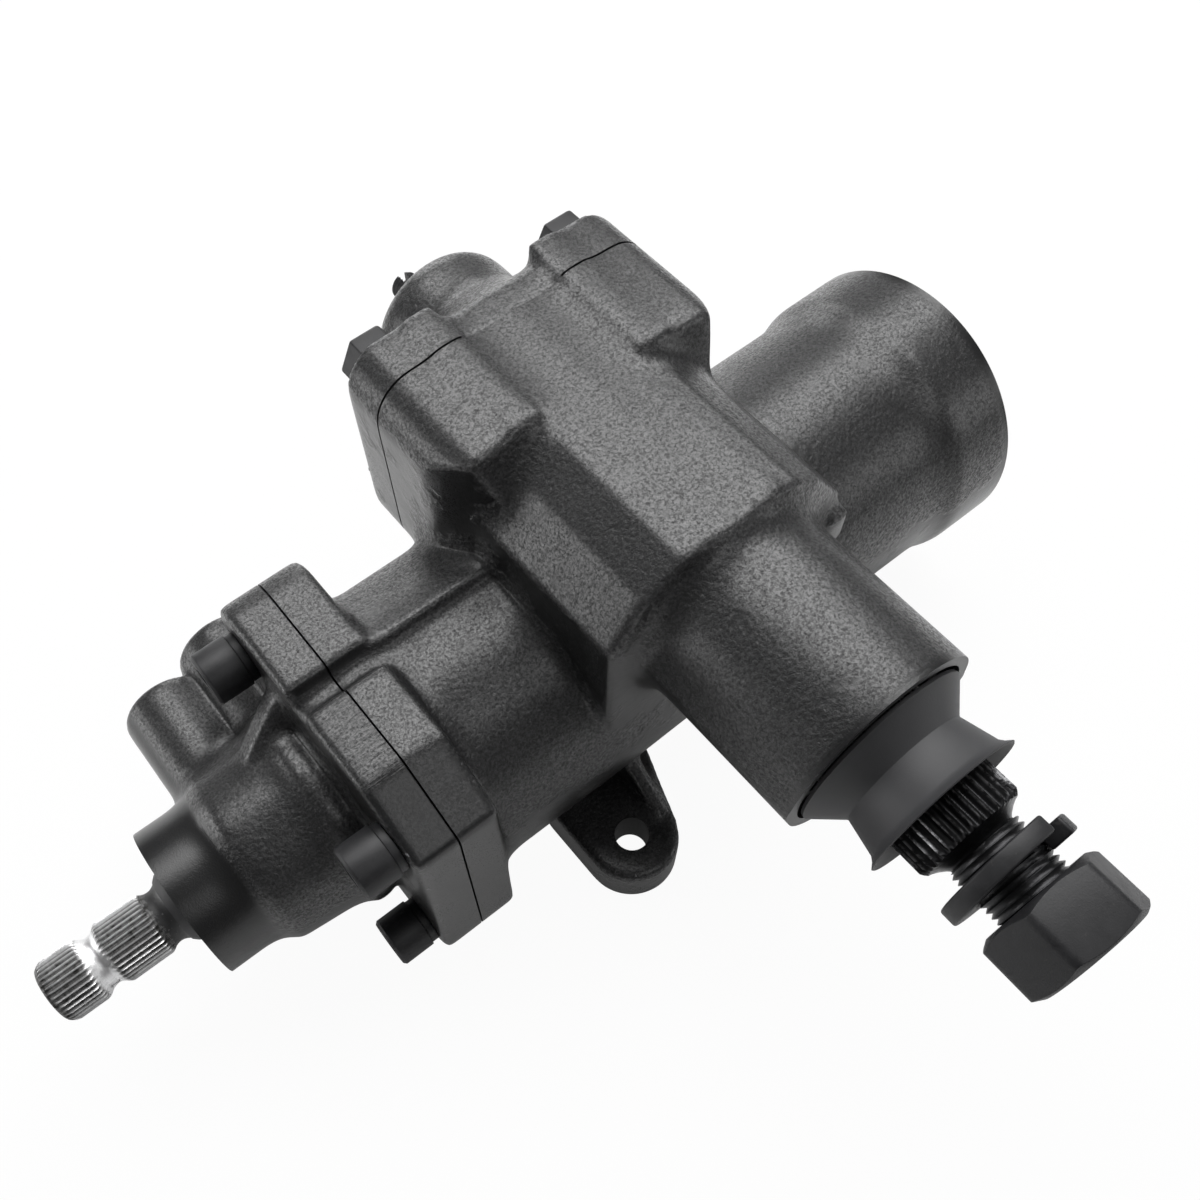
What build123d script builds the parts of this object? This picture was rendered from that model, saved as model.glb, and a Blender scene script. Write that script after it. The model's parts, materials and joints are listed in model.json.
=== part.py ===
"""Power steering gearbox of the recirculating-ball kind, modelled in millimetres.

The gear lies on the machined pads that bolt to a vehicle's frame. Z = 0 is that face,
+X runs along the worm towards the big cylinder's end, +Y towards the side cover, and the
origin is the foot of the sector shaft's axis.
"""

from build123d import *
import math
import os

os.makedirs("parts", exist_ok=True)

# Axes of the worm and of the sector shaft
worm_z = 54.5
axis_offset = 54.4
sector_z = worm_z + axis_offset

# Clearances
running_gap = 0.05
seat_gap = 0.05
thread_gap = 0.05
loose_gap = 0.3

# Sector and rack teeth
full_circle_teeth = 7
sector_teeth = 3
pitch_radius = 27.0
pressure_angle = 30.0
tooth_reach = 6.2
tooth_root_gap = 1.0
backlash = 0.12
rack_end_room = 2.0
sector_width = 42.0
swing_angle = 43.0

# Worm, ball track and balls
steering_ratio = 14.0
ball_radius = 3.5
ball_circle_radius = 12.6
track_gap = 0.1
worm_radius = 12.2
nut_bore_radius = 13.0
circuit_turns = 2
balls_in_track = 20
balls_in_guide = 4
worm_track_start_turns = 3
worm_track_end_turns = 4
worm_end_x = 46.0

# Main cylinder and its rack piston
bore_radius = 38.0
bore_start_x = -78.0
barrel_radius = 46.8
cylinder_radius = 45.3
band_radius = 48.0
band_ramp = 7.0
band_start_x = 108.0
cylinder_end_x = 130.0
end_chamfer = 1.0
piston_end_room = 7.0
piston_ring_inset = 17.7
piston_ring_width = 3.2
piston_ring_depth = 2.4
piston_plug_length = 9.0
piston_plug_radius = 15.0
plug_socket_width = 12.7
plug_socket_depth = 5.0
end_cap_bore_radius = 41.0
end_cap_seat_x = 107.0
end_cap_thickness = 13.0
end_cap_dish_depth = 4.0
end_cap_dish_radius = 29.0
end_ring_thickness = 2.4
end_ring_depth = 2.6
end_ring_width = 5.0

# Sector chamber and sector tube
chamber_front_y = -44.0
chamber_half_width = 41.5
chamber_top = 34.5
chamber_side_height = 11.0
chamber_roof_x = 30.0
chamber_roof_height = 26.5
chamber_crease_depth = 1.6
chamber_crease_width = 3.2
gate_stub_length = 8.0
gate_stub_height = 13.0
gate_stub_width = 4.0
gate_stub_proud = 1.0
chamber_bore_radius = 34.4
chamber_floor_y = -23.5
tube_radius = 30.8
tube_flare = 3.5
tube_end_y = -102.0
tube_mouth_radius = 27.6
tube_mouth_depth = 5.0
seal_bore_radius = 23.8
seal_bore_start_y = -60.0
journal_radius = 17.4
upper_journal_radius = 15.9
needle_outer_radius = 22.2
needle_start_y = -26.0
needle_length = 32.0

# Side cover and the face that it bolts to
cover_seam_y = 49.0
cover_lobe_y = 65.0
cover_bolt_x = 35.0
cover_bolt_z = 22.5
cover_lobe_radius = 13.3
cover_flange_depth = 43.0
cover_lobe_slope_width = 8.0
cover_lobe_slope_depth = 17.0
cover_lobe_taper_y = 28.0
cover_lobe_taper_radius = 60.0
cover_lobe_tip_inset = 11.5
cover_pilot_depth = 6.0
cover_panel_half_width = 17.2
cover_ridge_width = 9.5
cover_ridge_height = 2.6
dome_radius = 25.0
dome_end_y = 94.0
dome_corner = 9.0
cover_hub_radius = 24.0
cover_hub_start_y = 27.0
cover_cavity_end_y = 70.0
dome_cone_start_y = 59.0
dome_foot_y = 73.0
bushing_wall = 3.0
bushing_length = 30.0
cover_bolt_radius = 5.0
cover_bolt_head_across_flats = 16.5
cover_bolt_head_height = 9.0
bolt_head_chamfer = 0.9
cover_bolt_reach = 22.0

# Lash adjuster
adjuster_radius = 4.8
adjuster_tip_y = 111.0
adjuster_head_radius = 8.4
adjuster_head_height = 3.0
adjuster_slot_width = 2.6
adjuster_slot_depth = 3.4
shaft_top_y = 62.0
adjuster_pocket_depth = 9.0
retainer_height = 3.0
locknut_across_flats = 17.5
locknut_height = 6.5
locknut_cone = 3.0

# Sector shaft's arm end
serration_count = 36
serration_radius = 15.8
serration_depth = 1.3
serration_start_y = -114.0
serration_end_y = -134.0
neck_end_y = -138.0
neck_radius = 9.9
arm_thread_radius = 11.1
shaft_bottom_y = -171.0
shaft_chamfer = 1.0
nut_start_y = -154.0
nut_end_y = -172.5
nut_across_flats = 33.3
nut_turn = 20.0
nut_chamfer = 1.6
nut_corner_margin = 0.3
washer_inner_radius = 11.4
washer_outer_radius = 18.7
washer_thickness = 5.0
washer_y = -145.0
washer_pitch = 3.2
washer_turn_share = 0.97

# Seals of the sector shaft
lip_seal_length = 9.0
backup_washer_length = 2.0
second_seal_length = 9.0
seal_ring_depth = 2.0
seal_ring_thickness = 2.0
seal_ring_width = 5.0
dust_seal_base_radius = 26.5
dust_seal_waist_radius = 18.9
dust_seal_lip_radius = 21.6
dust_seal_waist_y = -111.0
dust_seal_lip_y = -123.5
dust_seal_wall = 1.4
dust_seal_shoulder = 0.6

# Flange between the gear housing and the valve housing
flange_seam_x = -98.0
flange_back_x = -84.0
flange_front_x = -112.0
flange_half_width = 50.5
flange_top = 52.5
flange_bottom = 48.0
flange_corner = 13.0
flange_notch_y = 5.0
flange_notch_width = 8.0
flange_notch_depth = 6.0
flange_slope_start_y = -27.0
flange_slope_end_height = 40.0
valve_bolt_y = 38.0
valve_bolt_z = 35.0
valve_bolt_radius = 5.0
valve_bolt_reach = 24.0
valve_bolt_recess = 1.5
thread_end_wall = 2.0
valve_bolt_head_radius = 8.5
valve_bolt_head_length = 11.5
valve_bolt_washer_thickness = 2.6
valve_bolt_washer_radius = 7.9
valve_bolt_socket = 8.0
valve_bolt_socket_depth = 6.0

# Valve housing
neck_end_x = -168.5
neck_back_x = -148.5
valve_neck_radius = 25.2
valve_step_radius = 27.6
valve_body_radius = 29.5
valve_body_end_radius = 31.5
collar_radius = 34.5
collar_start_x = -124.0
collar_end_x = -116.5
collar_recess = 2.0
neck_step_length = 2.0
valve_bore_radius = 22.0
valve_bore_start_x = -149.0
thrust_bore_radius = 27.0
thrust_bore_front_x = -107.0
thrust_bore_back_x = -90.0
worm_hole_radius = 14.0
fin_start_x = -134.0
fin_angle = 26.0
fin_thickness = 9.0
fin_top = 46.0
fin_crest_x = -112.0

# Hose ports on the valve housing
port_one_x = -139.5
port_one_radius = 14.5
port_one_end_y = 62.0
port_two_x = -114.0
port_two_radius = 15.5
port_two_end_y = 70.0
port_rim = 3.0
port_hole_radius = 8.0
port_thread_depth = 10.5
port_pocket_radius = 6.5
port_pocket_depth = 6.5
port_passage_radius = 4.0
port_seat_radius = 5.5
port_seat_height = 6.0
port_seat_bore_radius = 2.2
port_seat_taper = 25.0

# Input shaft, torsion bar and rotary valve
input_tip_x = -213.0
input_spline_count = 36
input_spline_radius = 10.3
input_spline_depth = 0.8
outer_spline_end_x = -200.5
spline_root_radius = 9.3
spline_run_out = 1.5
waist_end_x = -192.5
waist_radius = 8.2
inner_spline_end_x = -178.3
input_neck_radius = 8.6
input_neck_end_x = -171.0
seal_journal_radius = 11.0
seal_journal_end_x = -148.9
spool_radius = 14.4
spool_end_x = -112.5
tang_end_x = -100.0
tang_half_length = 11.0
tang_width = 9.0
tang_neck_radius = 10.0
twist_angle = 7.0
twist_margin = 1.0
torsion_bar_radius = 3.4
torsion_bar_end_radius = 4.6
torsion_bar_end_length = 14.0
torsion_bar_end_x = -84.0
pin_radius = 1.6
pin_end_inset = 0.4
sleeve_radius = 21.0
sleeve_start_x = -147.0
sleeve_end_x = -108.0
sleeve_pin_radius = 0.9
sleeve_pin_length = 5.0
sleeve_lip_length = 3.0
sleeve_ring_width = 2.0
sleeve_ring_depth = 1.2
sleeve_ring_count = 4
sleeve_end_land = 2.5
sleeve_groove_width = 5.0
spool_slot_count = 6
spool_slot_depth = 1.6
spool_slot_width = 4.0

# Worm head and its thrust bearings
worm_flange_radius = 25.0
worm_flange_thickness = 5.0
thrust_race_thickness = 1.4
thrust_roller_radius = 1.5
thrust_roller_count = 12
thrust_inner_radius = 14.6
thrust_outer_radius = 25.6
thrust_roller_inset = 1.4
worm_hub_radius = 14.2
worm_neck_radius = 12.0
worm_thread_start_x = -52.0

# Bearing and seals of the input shaft
needle_input_length = 8.0
needle_input_radius = 15.0
input_seal_length = 7.0
input_ring_thickness = 1.6
input_ring_width = 2.5

# Ball return guide and its clamp
guide_depth = 29.0
guide_radius = 4.6
guide_bore_radius = 3.7
guide_bend_radius = 5.0
guide_pocket_length = 38.0
guide_pocket_width = 24.0
guide_pocket_corner = 3.0
guide_end_room = 1.5
clamp_length = 12.0
clamp_wall = 1.5
clamp_foot = 11.6
clamp_screw_radius = 1.8
clamp_screw_head_radius = 2.6
clamp_screw_head_height = 2.2
clamp_screw_reach = 5.0
clamp_screw_y = 9.2

# Seams sealed by round cords
cord_radius = 1.3
valve_cord_circle = 31.5

# Pads and bosses that bolt to the frame
pad_strip_start_x = -24.0
pad_strip_end_x = 96.0
pad_strip_half_width = 17.0
pad_strip_corner = 8.0
frame_thread_radius = 5.1
frame_thread_depth = 11.0
frame_thread_x = 78.0
rear_boss_x = -44.0
rear_boss_y = 58.0
rear_boss_radius = 14.0
rear_boss_height = 34.0
rear_boss_spread = 3.0
foot_root_y = 30.0
ear_x = -40.3
ear_y = -57.3
ear_radius = 16.0
ear_hole_radius = 5.8
ear_thickness = 16.5
ear_root_x = -13.0
ear_shoulder_angle = 20.0
ear_web_height = 34.0
ear_web_thickness = 6.0
ear_web_inset = 3.0
ear_web_root_y = -38.0

# Gallery rib cast along the barrel
gallery_inner_y = 7.5
gallery_outer_y = 38.0
gallery_radius = 51.3

# Values worked out from the sizes above
gear_module = 2 * pitch_radius / full_circle_teeth
tooth_pitch = math.pi * gear_module
lead = 2 * math.pi * pitch_radius / steering_ratio
stroke = pitch_radius * math.radians(swing_angle)
piston_left_x = bore_start_x + stroke + piston_end_room
piston_right_x = end_cap_seat_x - stroke - piston_end_room
piston_ring_x = piston_right_x - piston_ring_inset
base_radius = pitch_radius * math.cos(math.radians(pressure_angle))
tip_radius = pitch_radius + tooth_reach
root_radius = pitch_radius - tooth_reach - tooth_root_gap
rack_pitch_height = axis_offset - pitch_radius
rack_tip_height = rack_pitch_height + tooth_reach
rack_floor_height = rack_pitch_height - tooth_reach - tooth_root_gap
worm_flange_x = (thrust_bore_front_x + thrust_bore_back_x) / 2
thrust_room = (thrust_bore_back_x - thrust_bore_front_x - worm_flange_thickness) / 2
first_seal_y = seal_bore_start_y - seat_gap
backup_y = first_seal_y - lip_seal_length - seat_gap
second_seal_y = backup_y - backup_washer_length - seat_gap
seal_ring_y = second_seal_y - second_seal_length - seat_gap - seal_ring_thickness / 2
guide_pocket_depth = guide_depth - guide_bend_radius
dust_seal_start_y = seal_ring_y - seal_ring_thickness / 2 - loose_gap
worm_hub_x = sleeve_end_x + 2 * seat_gap
fin_foot_radius = (valve_bore_radius + valve_body_radius) / 2
panel_step = cover_bolt_z + cover_lobe_radius - chamber_top
cover_ridge_top = chamber_top + cover_ridge_height
cover_ridge_y = cover_panel_half_width + cover_ridge_width / 2
cover_lobe_side = cover_bolt_x + cover_lobe_radius
cover_lobe_front_y = cover_seam_y - cover_flange_depth
cover_outline_corner = cover_lobe_radius - 0.1
cover_seal_y = cover_seam_y - cover_pilot_depth / 2
pin_x = (outer_spline_end_x + waist_end_x) / 2
bar_start_x = pin_x - torsion_bar_end_length / 2
sleeve_pin_circle = (worm_hub_radius + tang_half_length) / 2
nut_corner_radius = nut_across_flats / math.sqrt(3)
locknut_corner_radius = locknut_across_flats / math.sqrt(3)
shaft_hole_radius = journal_radius + running_gap
bushing_outer_radius = upper_journal_radius + running_gap + bushing_wall
adjuster_head_y = shaft_top_y - adjuster_pocket_depth + loose_gap
retainer_y = adjuster_head_y + adjuster_head_height + loose_gap
end_cap_outer_x = end_cap_seat_x + end_cap_thickness
retaining_ring_x = end_cap_outer_x + loose_gap
ear_shoulder_turn = math.radians(ear_shoulder_angle)
ear_shoulder = (
    ear_x + ear_radius * math.cos(ear_shoulder_turn),
    ear_y - ear_radius * math.sin(ear_shoulder_turn),
)

main_axis = Axis((0, 0, worm_z), (1, 0, 0))
sector_axis = Axis((0, 0, sector_z), (0, 1, 0))
main_section = Plane(origin=(0, 0, worm_z), x_dir=(1, 0, 0), z_dir=(0, -1, 0))
sector_section = Plane(origin=(0, 0, sector_z), x_dir=(0, 1, 0), z_dir=(1, 0, 0))


def across_worm(x):
    """Plane square to the worm at x, with +Y and +Z as its own axes."""
    return Plane(origin=(x, 0, worm_z), x_dir=(0, 1, 0), z_dir=(1, 0, 0))


def across_sector(y):
    """Plane square to the sector shaft at y, facing -Y, with +X and +Z as its own axes."""
    return Plane(origin=(0, y, sector_z), x_dir=(1, 0, 0), z_dir=(0, -1, 0))


def band(start, end, inner, outer, mode=Mode.ADD):
    """Rectangle from start to end along an axis and from inner to outer radius."""
    with Locations(((start + end) / 2, (inner + outer) / 2)):
        Rectangle(end - start, outer - inner, mode=mode)


def cover_outline():
    """Outline of the side cover and of the face that it bolts to."""
    with BuildSketch() as outline:
        RectangleRounded(
            2 * cover_lobe_side,
            2 * (cover_bolt_z + cover_lobe_radius),
            cover_outline_corner,
        )
        with Locations((0, cover_bolt_z + cover_lobe_radius)):
            Rectangle(2 * cover_panel_half_width, 2 * panel_step, mode=Mode.SUBTRACT)
        with Locations((-cover_ridge_y, cover_ridge_top / 2), (cover_ridge_y, cover_ridge_top / 2)):
            Rectangle(cover_ridge_width, cover_ridge_top)
    return outline.sketch


def flange_outline():
    """Outline of the flange between the gear housing and the valve housing."""
    with BuildSketch() as outline:
        with Locations((0, (flange_top - flange_bottom) / 2)):
            RectangleRounded(2 * flange_half_width, flange_top + flange_bottom, flange_corner)
        with Locations((flange_notch_y, flange_top)):
            Rectangle(flange_notch_width, 2 * flange_notch_depth, mode=Mode.SUBTRACT)
        with BuildLine():
            Polyline(
                (flange_slope_start_y, flange_top),
                (-flange_half_width, flange_slope_end_height),
                (-flange_half_width - 1, flange_top + 1),
                close=True,
            )
        make_face(mode=Mode.SUBTRACT)
    return outline.sketch


def serrated_points(count, outer, depth):
    """Corners of a serrated shaft's section, crest and root in turn."""
    points = []
    for step in range(2 * count):
        angle = math.pi * step / count
        reach = outer if step % 2 == 0 else outer - depth
        points.append((reach * math.cos(angle), reach * math.sin(angle)))
    return points


def involute_point(radius, half_angle):
    """Point on a sector tooth's flank at a radius, on the side of the positive angle."""
    base_angle = math.acos(min(1.0, base_radius / radius))
    pitch_angle = math.radians(pressure_angle)
    spread = (math.tan(pitch_angle) - pitch_angle) - (math.tan(base_angle) - base_angle)
    angle = half_angle + spread
    return radius * math.sin(angle), -radius * math.cos(angle)


def sector_tooth():
    """One involute tooth that points down, from inside the root circle to the tip."""
    half_angle = (tooth_pitch / 2 - backlash) / 2 / pitch_radius
    steps = 6
    radii = [base_radius + (tip_radius - base_radius) * step / steps for step in range(steps + 1)]
    flank = [involute_point(radius, half_angle) for radius in radii]
    mirrored = [(-x, z) for x, z in flank]
    foot_angle = math.atan2(flank[0][0], -flank[0][1])
    foot = (root_radius - 1) * math.sin(foot_angle), -(root_radius - 1) * math.cos(foot_angle)
    with BuildSketch() as tooth:
        with BuildLine():
            Line(foot, flank[0])
            Spline(*flank)
            ThreePointArc(flank[-1], (0, -tip_radius), mirrored[-1])
            Spline(*reversed(mirrored))
            Line(mirrored[0], (-foot[0], foot[1]))
            Line((-foot[0], foot[1]), foot)
        make_face()
    return tooth.sketch


# Cast gear housing
cover_face = cover_outline()
flange_face = flange_outline()
with BuildPart() as gear_housing:
    with BuildSketch(across_sector(cover_seam_y)):
        add(cover_face)
    extrude(amount=cover_flange_depth)
    with BuildSketch(sector_section):
        with BuildLine():
            Polyline(
                (cover_lobe_front_y + cover_lobe_slope_width, cover_ridge_top + 1),
                (cover_lobe_front_y + cover_lobe_slope_width, cover_ridge_top),
                (cover_lobe_front_y, cover_ridge_top - cover_lobe_slope_depth),
                (cover_lobe_front_y - 1, cover_ridge_top + 1),
                close=True,
            )
        make_face()
    extrude(amount=cover_lobe_side + 1, both=True, mode=Mode.SUBTRACT)
    with BuildSketch(Plane.XY):
        with BuildLine():
            Polyline(
                (cover_lobe_side, cover_lobe_taper_y),
                (cover_lobe_side + 1, cover_lobe_taper_y),
                (cover_lobe_side + 1, cover_lobe_front_y - 1),
                (cover_lobe_side - cover_lobe_tip_inset, cover_lobe_front_y - 1),
                (cover_lobe_side - cover_lobe_tip_inset, cover_lobe_front_y),
            )
            RadiusArc(
                (cover_lobe_side - cover_lobe_tip_inset, cover_lobe_front_y),
                (cover_lobe_side, cover_lobe_taper_y),
                -cover_lobe_taper_radius,
            )
        make_face()
        mirror(about=Plane.YZ)
    extrude(amount=sector_z + cover_ridge_top + 1, mode=Mode.SUBTRACT)
    with BuildSketch(main_section):
        with BuildLine():
            Polyline(
                (flange_back_x, 0),
                (flange_back_x, barrel_radius),
                (-chamber_half_width, barrel_radius),
                (chamber_half_width, cylinder_radius),
                (band_start_x - band_ramp, cylinder_radius),
                (band_start_x, band_radius),
                (cylinder_end_x - end_chamfer, band_radius),
                (cylinder_end_x, band_radius - end_chamfer),
                (cylinder_end_x, 0),
                close=True,
            )
        make_face()
    revolve(axis=main_axis)
    with BuildSketch(sector_section):
        with BuildLine():
            Polyline(
                (tube_end_y, 0),
                (tube_end_y, tube_radius - end_chamfer),
                (tube_end_y + end_chamfer, tube_radius),
                (chamber_front_y - tube_flare, tube_radius),
                (chamber_front_y, tube_radius + tube_flare),
                (chamber_front_y + tube_flare, tube_radius + tube_flare),
                (chamber_front_y + tube_flare, 0),
                close=True,
            )
        make_face()
    revolve(axis=sector_axis)
    with BuildSketch(across_sector(chamber_front_y)):
        with BuildLine():
            Polyline(
                (-chamber_half_width, -axis_offset),
                (-chamber_half_width, chamber_side_height),
                (-chamber_roof_x, chamber_roof_height),
                (-cover_panel_half_width, chamber_top),
                (cover_panel_half_width - chamber_crease_width, chamber_top),
                (cover_panel_half_width, chamber_top - chamber_crease_depth),
                (cover_panel_half_width + chamber_crease_width, chamber_top - chamber_crease_depth),
                (chamber_roof_x, chamber_roof_height),
                (chamber_half_width, chamber_side_height),
                (chamber_half_width, -axis_offset),
                close=True,
            )
        make_face()
    extrude(amount=chamber_front_y - cover_seam_y)
    with BuildSketch(across_sector(chamber_front_y - gate_stub_width)):
        with Locations((chamber_half_width - gate_stub_length / 2 + gate_stub_proud, 0)):
            Rectangle(gate_stub_length, gate_stub_height)
    extrude(amount=-2 * gate_stub_width)
    with BuildSketch(across_worm(flange_seam_x)):
        add(flange_face)
    extrude(amount=flange_back_x - flange_seam_x)
    with BuildSketch(across_worm(flange_back_x)):
        Circle(gallery_radius)
        with Locations(((gallery_inner_y + gallery_outer_y) / 2, gallery_radius / 2)):
            Rectangle(gallery_outer_y - gallery_inner_y, gallery_radius, mode=Mode.INTERSECT)
    extrude(amount=-flange_back_x)
    with BuildSketch(Plane.XY):
        with Locations(((pad_strip_start_x + pad_strip_end_x) / 2, 0)):
            RectangleRounded(pad_strip_end_x - pad_strip_start_x, 2 * pad_strip_half_width, pad_strip_corner)
    extrude(amount=worm_z - barrel_radius + pad_strip_corner)
    with BuildSketch(Plane.XY):
        with Locations((rear_boss_x, rear_boss_y)):
            Circle(rear_boss_radius)
        with BuildLine():
            Polyline(
                (rear_boss_x - rear_boss_radius, rear_boss_y),
                (rear_boss_x - rear_boss_radius - rear_boss_spread, foot_root_y),
                (rear_boss_x + rear_boss_radius + rear_boss_spread, foot_root_y),
                (rear_boss_x + rear_boss_radius, rear_boss_y),
                close=True,
            )
        make_face()
    extrude(amount=rear_boss_height)
    with BuildSketch(Plane.XY) as ear_outline:
        with Locations((ear_x, ear_y)):
            Circle(ear_radius)
        with BuildLine():
            Polyline(
                (ear_x - ear_radius, ear_y),
                (ear_x - ear_radius, -foot_root_y),
                (ear_root_x, -foot_root_y),
                ear_shoulder,
                close=True,
            )
        make_face()
    extrude(amount=ear_thickness)
    with BuildSketch(Plane.YZ.offset(ear_x + ear_radius - ear_web_inset)):
        with BuildLine():
            Polyline(
                (ear_y - ear_hole_radius, ear_thickness - 1),
                (ear_y, ear_thickness + 2),
                (ear_web_root_y, ear_web_height),
                (-foot_root_y, ear_web_height),
                (-foot_root_y, ear_thickness - 1),
                close=True,
            )
        make_face()
    extrude(amount=ear_web_thickness / 2, both=True)

    # Inside of the casting
    with BuildSketch(main_section):
        band(bore_start_x, end_cap_seat_x, 0, bore_radius)
        band(end_cap_seat_x - 1, cylinder_end_x + 1, 0, end_cap_bore_radius)
        band(
            retaining_ring_x,
            retaining_ring_x + end_ring_thickness + 2 * seat_gap,
            0,
            end_cap_bore_radius + end_ring_depth,
        )
        band(thrust_bore_back_x - 1, bore_start_x + 1, 0, worm_hole_radius)
        band(flange_seam_x - 1, thrust_bore_back_x, 0, thrust_bore_radius)
    revolve(axis=main_axis, mode=Mode.SUBTRACT)
    with BuildSketch(sector_section):
        band(chamber_floor_y, cover_seam_y + 1, 0, chamber_bore_radius)
        band(seal_bore_start_y - 1, chamber_floor_y + 1, 0, needle_outer_radius)
        band(tube_end_y - 1, seal_bore_start_y, 0, seal_bore_radius)
        band(tube_end_y - 1, tube_end_y + tube_mouth_depth, 0, tube_mouth_radius)
        band(
            seal_ring_y - seal_ring_thickness / 2 - seat_gap,
            seal_ring_y + seal_ring_thickness / 2 + seat_gap,
            0,
            seal_bore_radius + seal_ring_depth + seat_gap,
        )
    revolve(axis=sector_axis, mode=Mode.SUBTRACT)
    with BuildSketch(across_sector(cover_seam_y)):
        with GridLocations(2 * cover_bolt_x, 2 * cover_bolt_z, 2, 2):
            Circle(cover_bolt_radius + thread_gap)
    extrude(amount=cover_bolt_reach, mode=Mode.SUBTRACT)
    with BuildSketch(across_worm(flange_seam_x)):
        with GridLocations(2 * valve_bolt_y, 2 * valve_bolt_z, 2, 2):
            Circle(valve_bolt_radius + thread_gap)
    extrude(amount=flange_back_x - flange_seam_x - thread_end_wall, mode=Mode.SUBTRACT)
    with BuildSketch(Plane.XY):
        with Locations((ear_x, ear_y)):
            Circle(ear_hole_radius)
    extrude(amount=ear_thickness + 1, mode=Mode.SUBTRACT)
    with BuildSketch(Plane.XY):
        with Locations((frame_thread_x, 0), (rear_boss_x, rear_boss_y)):
            Circle(frame_thread_radius)
    extrude(amount=frame_thread_depth, mode=Mode.SUBTRACT)
gear_housing.part.label = "gear_housing"
export_step(gear_housing.part, "parts/gear_housing.step")

# Cast valve housing with its hose ports
with BuildPart() as valve_housing:
    with BuildSketch(main_section):
        with BuildLine():
            Polyline(
                (neck_end_x, 0),
                (neck_end_x, valve_neck_radius - end_chamfer),
                (neck_end_x + end_chamfer, valve_neck_radius),
                (neck_back_x - neck_step_length, valve_neck_radius),
                (neck_back_x - neck_step_length / 2, valve_step_radius),
                (neck_back_x, valve_step_radius),
                (neck_back_x + neck_step_length, valve_body_radius),
                (collar_start_x, valve_body_end_radius),
                (collar_start_x + collar_recess, collar_radius),
                (collar_end_x, collar_radius),
                (collar_end_x + collar_recess, collar_radius - collar_recess),
                (flange_front_x + collar_recess, collar_radius + collar_recess),
                (flange_front_x + collar_recess, 0),
                close=True,
            )
        make_face()
    revolve(axis=main_axis)
    with BuildSketch(across_worm(flange_front_x)):
        add(flange_face)
    extrude(amount=flange_seam_x - flange_front_x)
    with BuildSketch(main_section.rotated((-fin_angle, 0, 0))):
        with BuildLine():
            Polyline(
                (fin_start_x, fin_foot_radius),
                (fin_start_x, valve_body_radius),
                (fin_crest_x, fin_top),
                (flange_front_x + collar_recess, fin_top),
                (flange_front_x + collar_recess, fin_foot_radius),
                close=True,
            )
        make_face()
    extrude(amount=fin_thickness / 2, both=True)
    with BuildSketch(main_section):
        with Locations((port_one_x, 0)):
            Circle(port_one_radius)
    extrude(amount=-port_one_end_y)
    port_one_edges = valve_housing.edges().filter_by(GeomType.CIRCLE)
    fillet(port_one_edges.filter_by(lambda edge: edge.center().Y > port_one_end_y - 1), port_rim)
    with BuildSketch(main_section):
        with Locations((port_two_x, 0)):
            Circle(port_two_radius)
    extrude(amount=-port_two_end_y)
    port_two_edges = valve_housing.edges().filter_by(GeomType.CIRCLE)
    fillet(port_two_edges.filter_by(lambda edge: edge.center().Y > port_two_end_y - 1), port_rim)

    # Bores, seats and passages
    with BuildSketch(main_section):
        band(neck_end_x - 1, valve_bore_start_x + 1, 0, needle_input_radius)
        band(valve_bore_start_x, thrust_bore_front_x + 1, 0, valve_bore_radius)
        band(thrust_bore_front_x, flange_seam_x + 1, 0, thrust_bore_radius)
        band(
            flange_seam_x - 2 * cord_radius - seat_gap,
            flange_seam_x + 1,
            valve_cord_circle - cord_radius - seat_gap,
            valve_cord_circle + cord_radius + seat_gap,
        )
    revolve(axis=main_axis, mode=Mode.SUBTRACT)
    with BuildSketch(across_worm(flange_seam_x + 1)):
        with GridLocations(2 * valve_bolt_y, 2 * valve_bolt_z, 2, 2):
            Circle(valve_bolt_radius + thread_gap)
    extrude(amount=flange_front_x - flange_seam_x - valve_bolt_recess, mode=Mode.SUBTRACT)
    with BuildSketch(across_worm(flange_front_x)):
        with GridLocations(2 * valve_bolt_y, 2 * valve_bolt_z, 2, 2):
            Circle(valve_bolt_head_radius + valve_bolt_recess)
    extrude(amount=-valve_bolt_head_length - valve_bolt_recess, mode=Mode.SUBTRACT)
    for port_x, port_end_y in ((port_one_x, port_one_end_y), (port_two_x, port_two_end_y)):
        with BuildSketch(Plane.XZ.offset(-port_end_y)):
            with Locations((port_x, worm_z)):
                Circle(port_hole_radius)
        extrude(amount=port_thread_depth, mode=Mode.SUBTRACT)
        with BuildSketch(Plane.XZ.offset(-port_end_y)):
            with Locations((port_x, worm_z)):
                Circle(port_pocket_radius)
        extrude(amount=port_thread_depth + port_pocket_depth, mode=Mode.SUBTRACT)
        with BuildSketch(Plane.XZ.offset(-port_end_y)):
            with Locations((port_x, worm_z)):
                Circle(port_passage_radius)
        extrude(amount=port_end_y - valve_bore_radius + 2, mode=Mode.SUBTRACT)
valve_housing.part.label = "valve_housing"
export_step(valve_housing.part, "parts/valve_housing.step")

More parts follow.
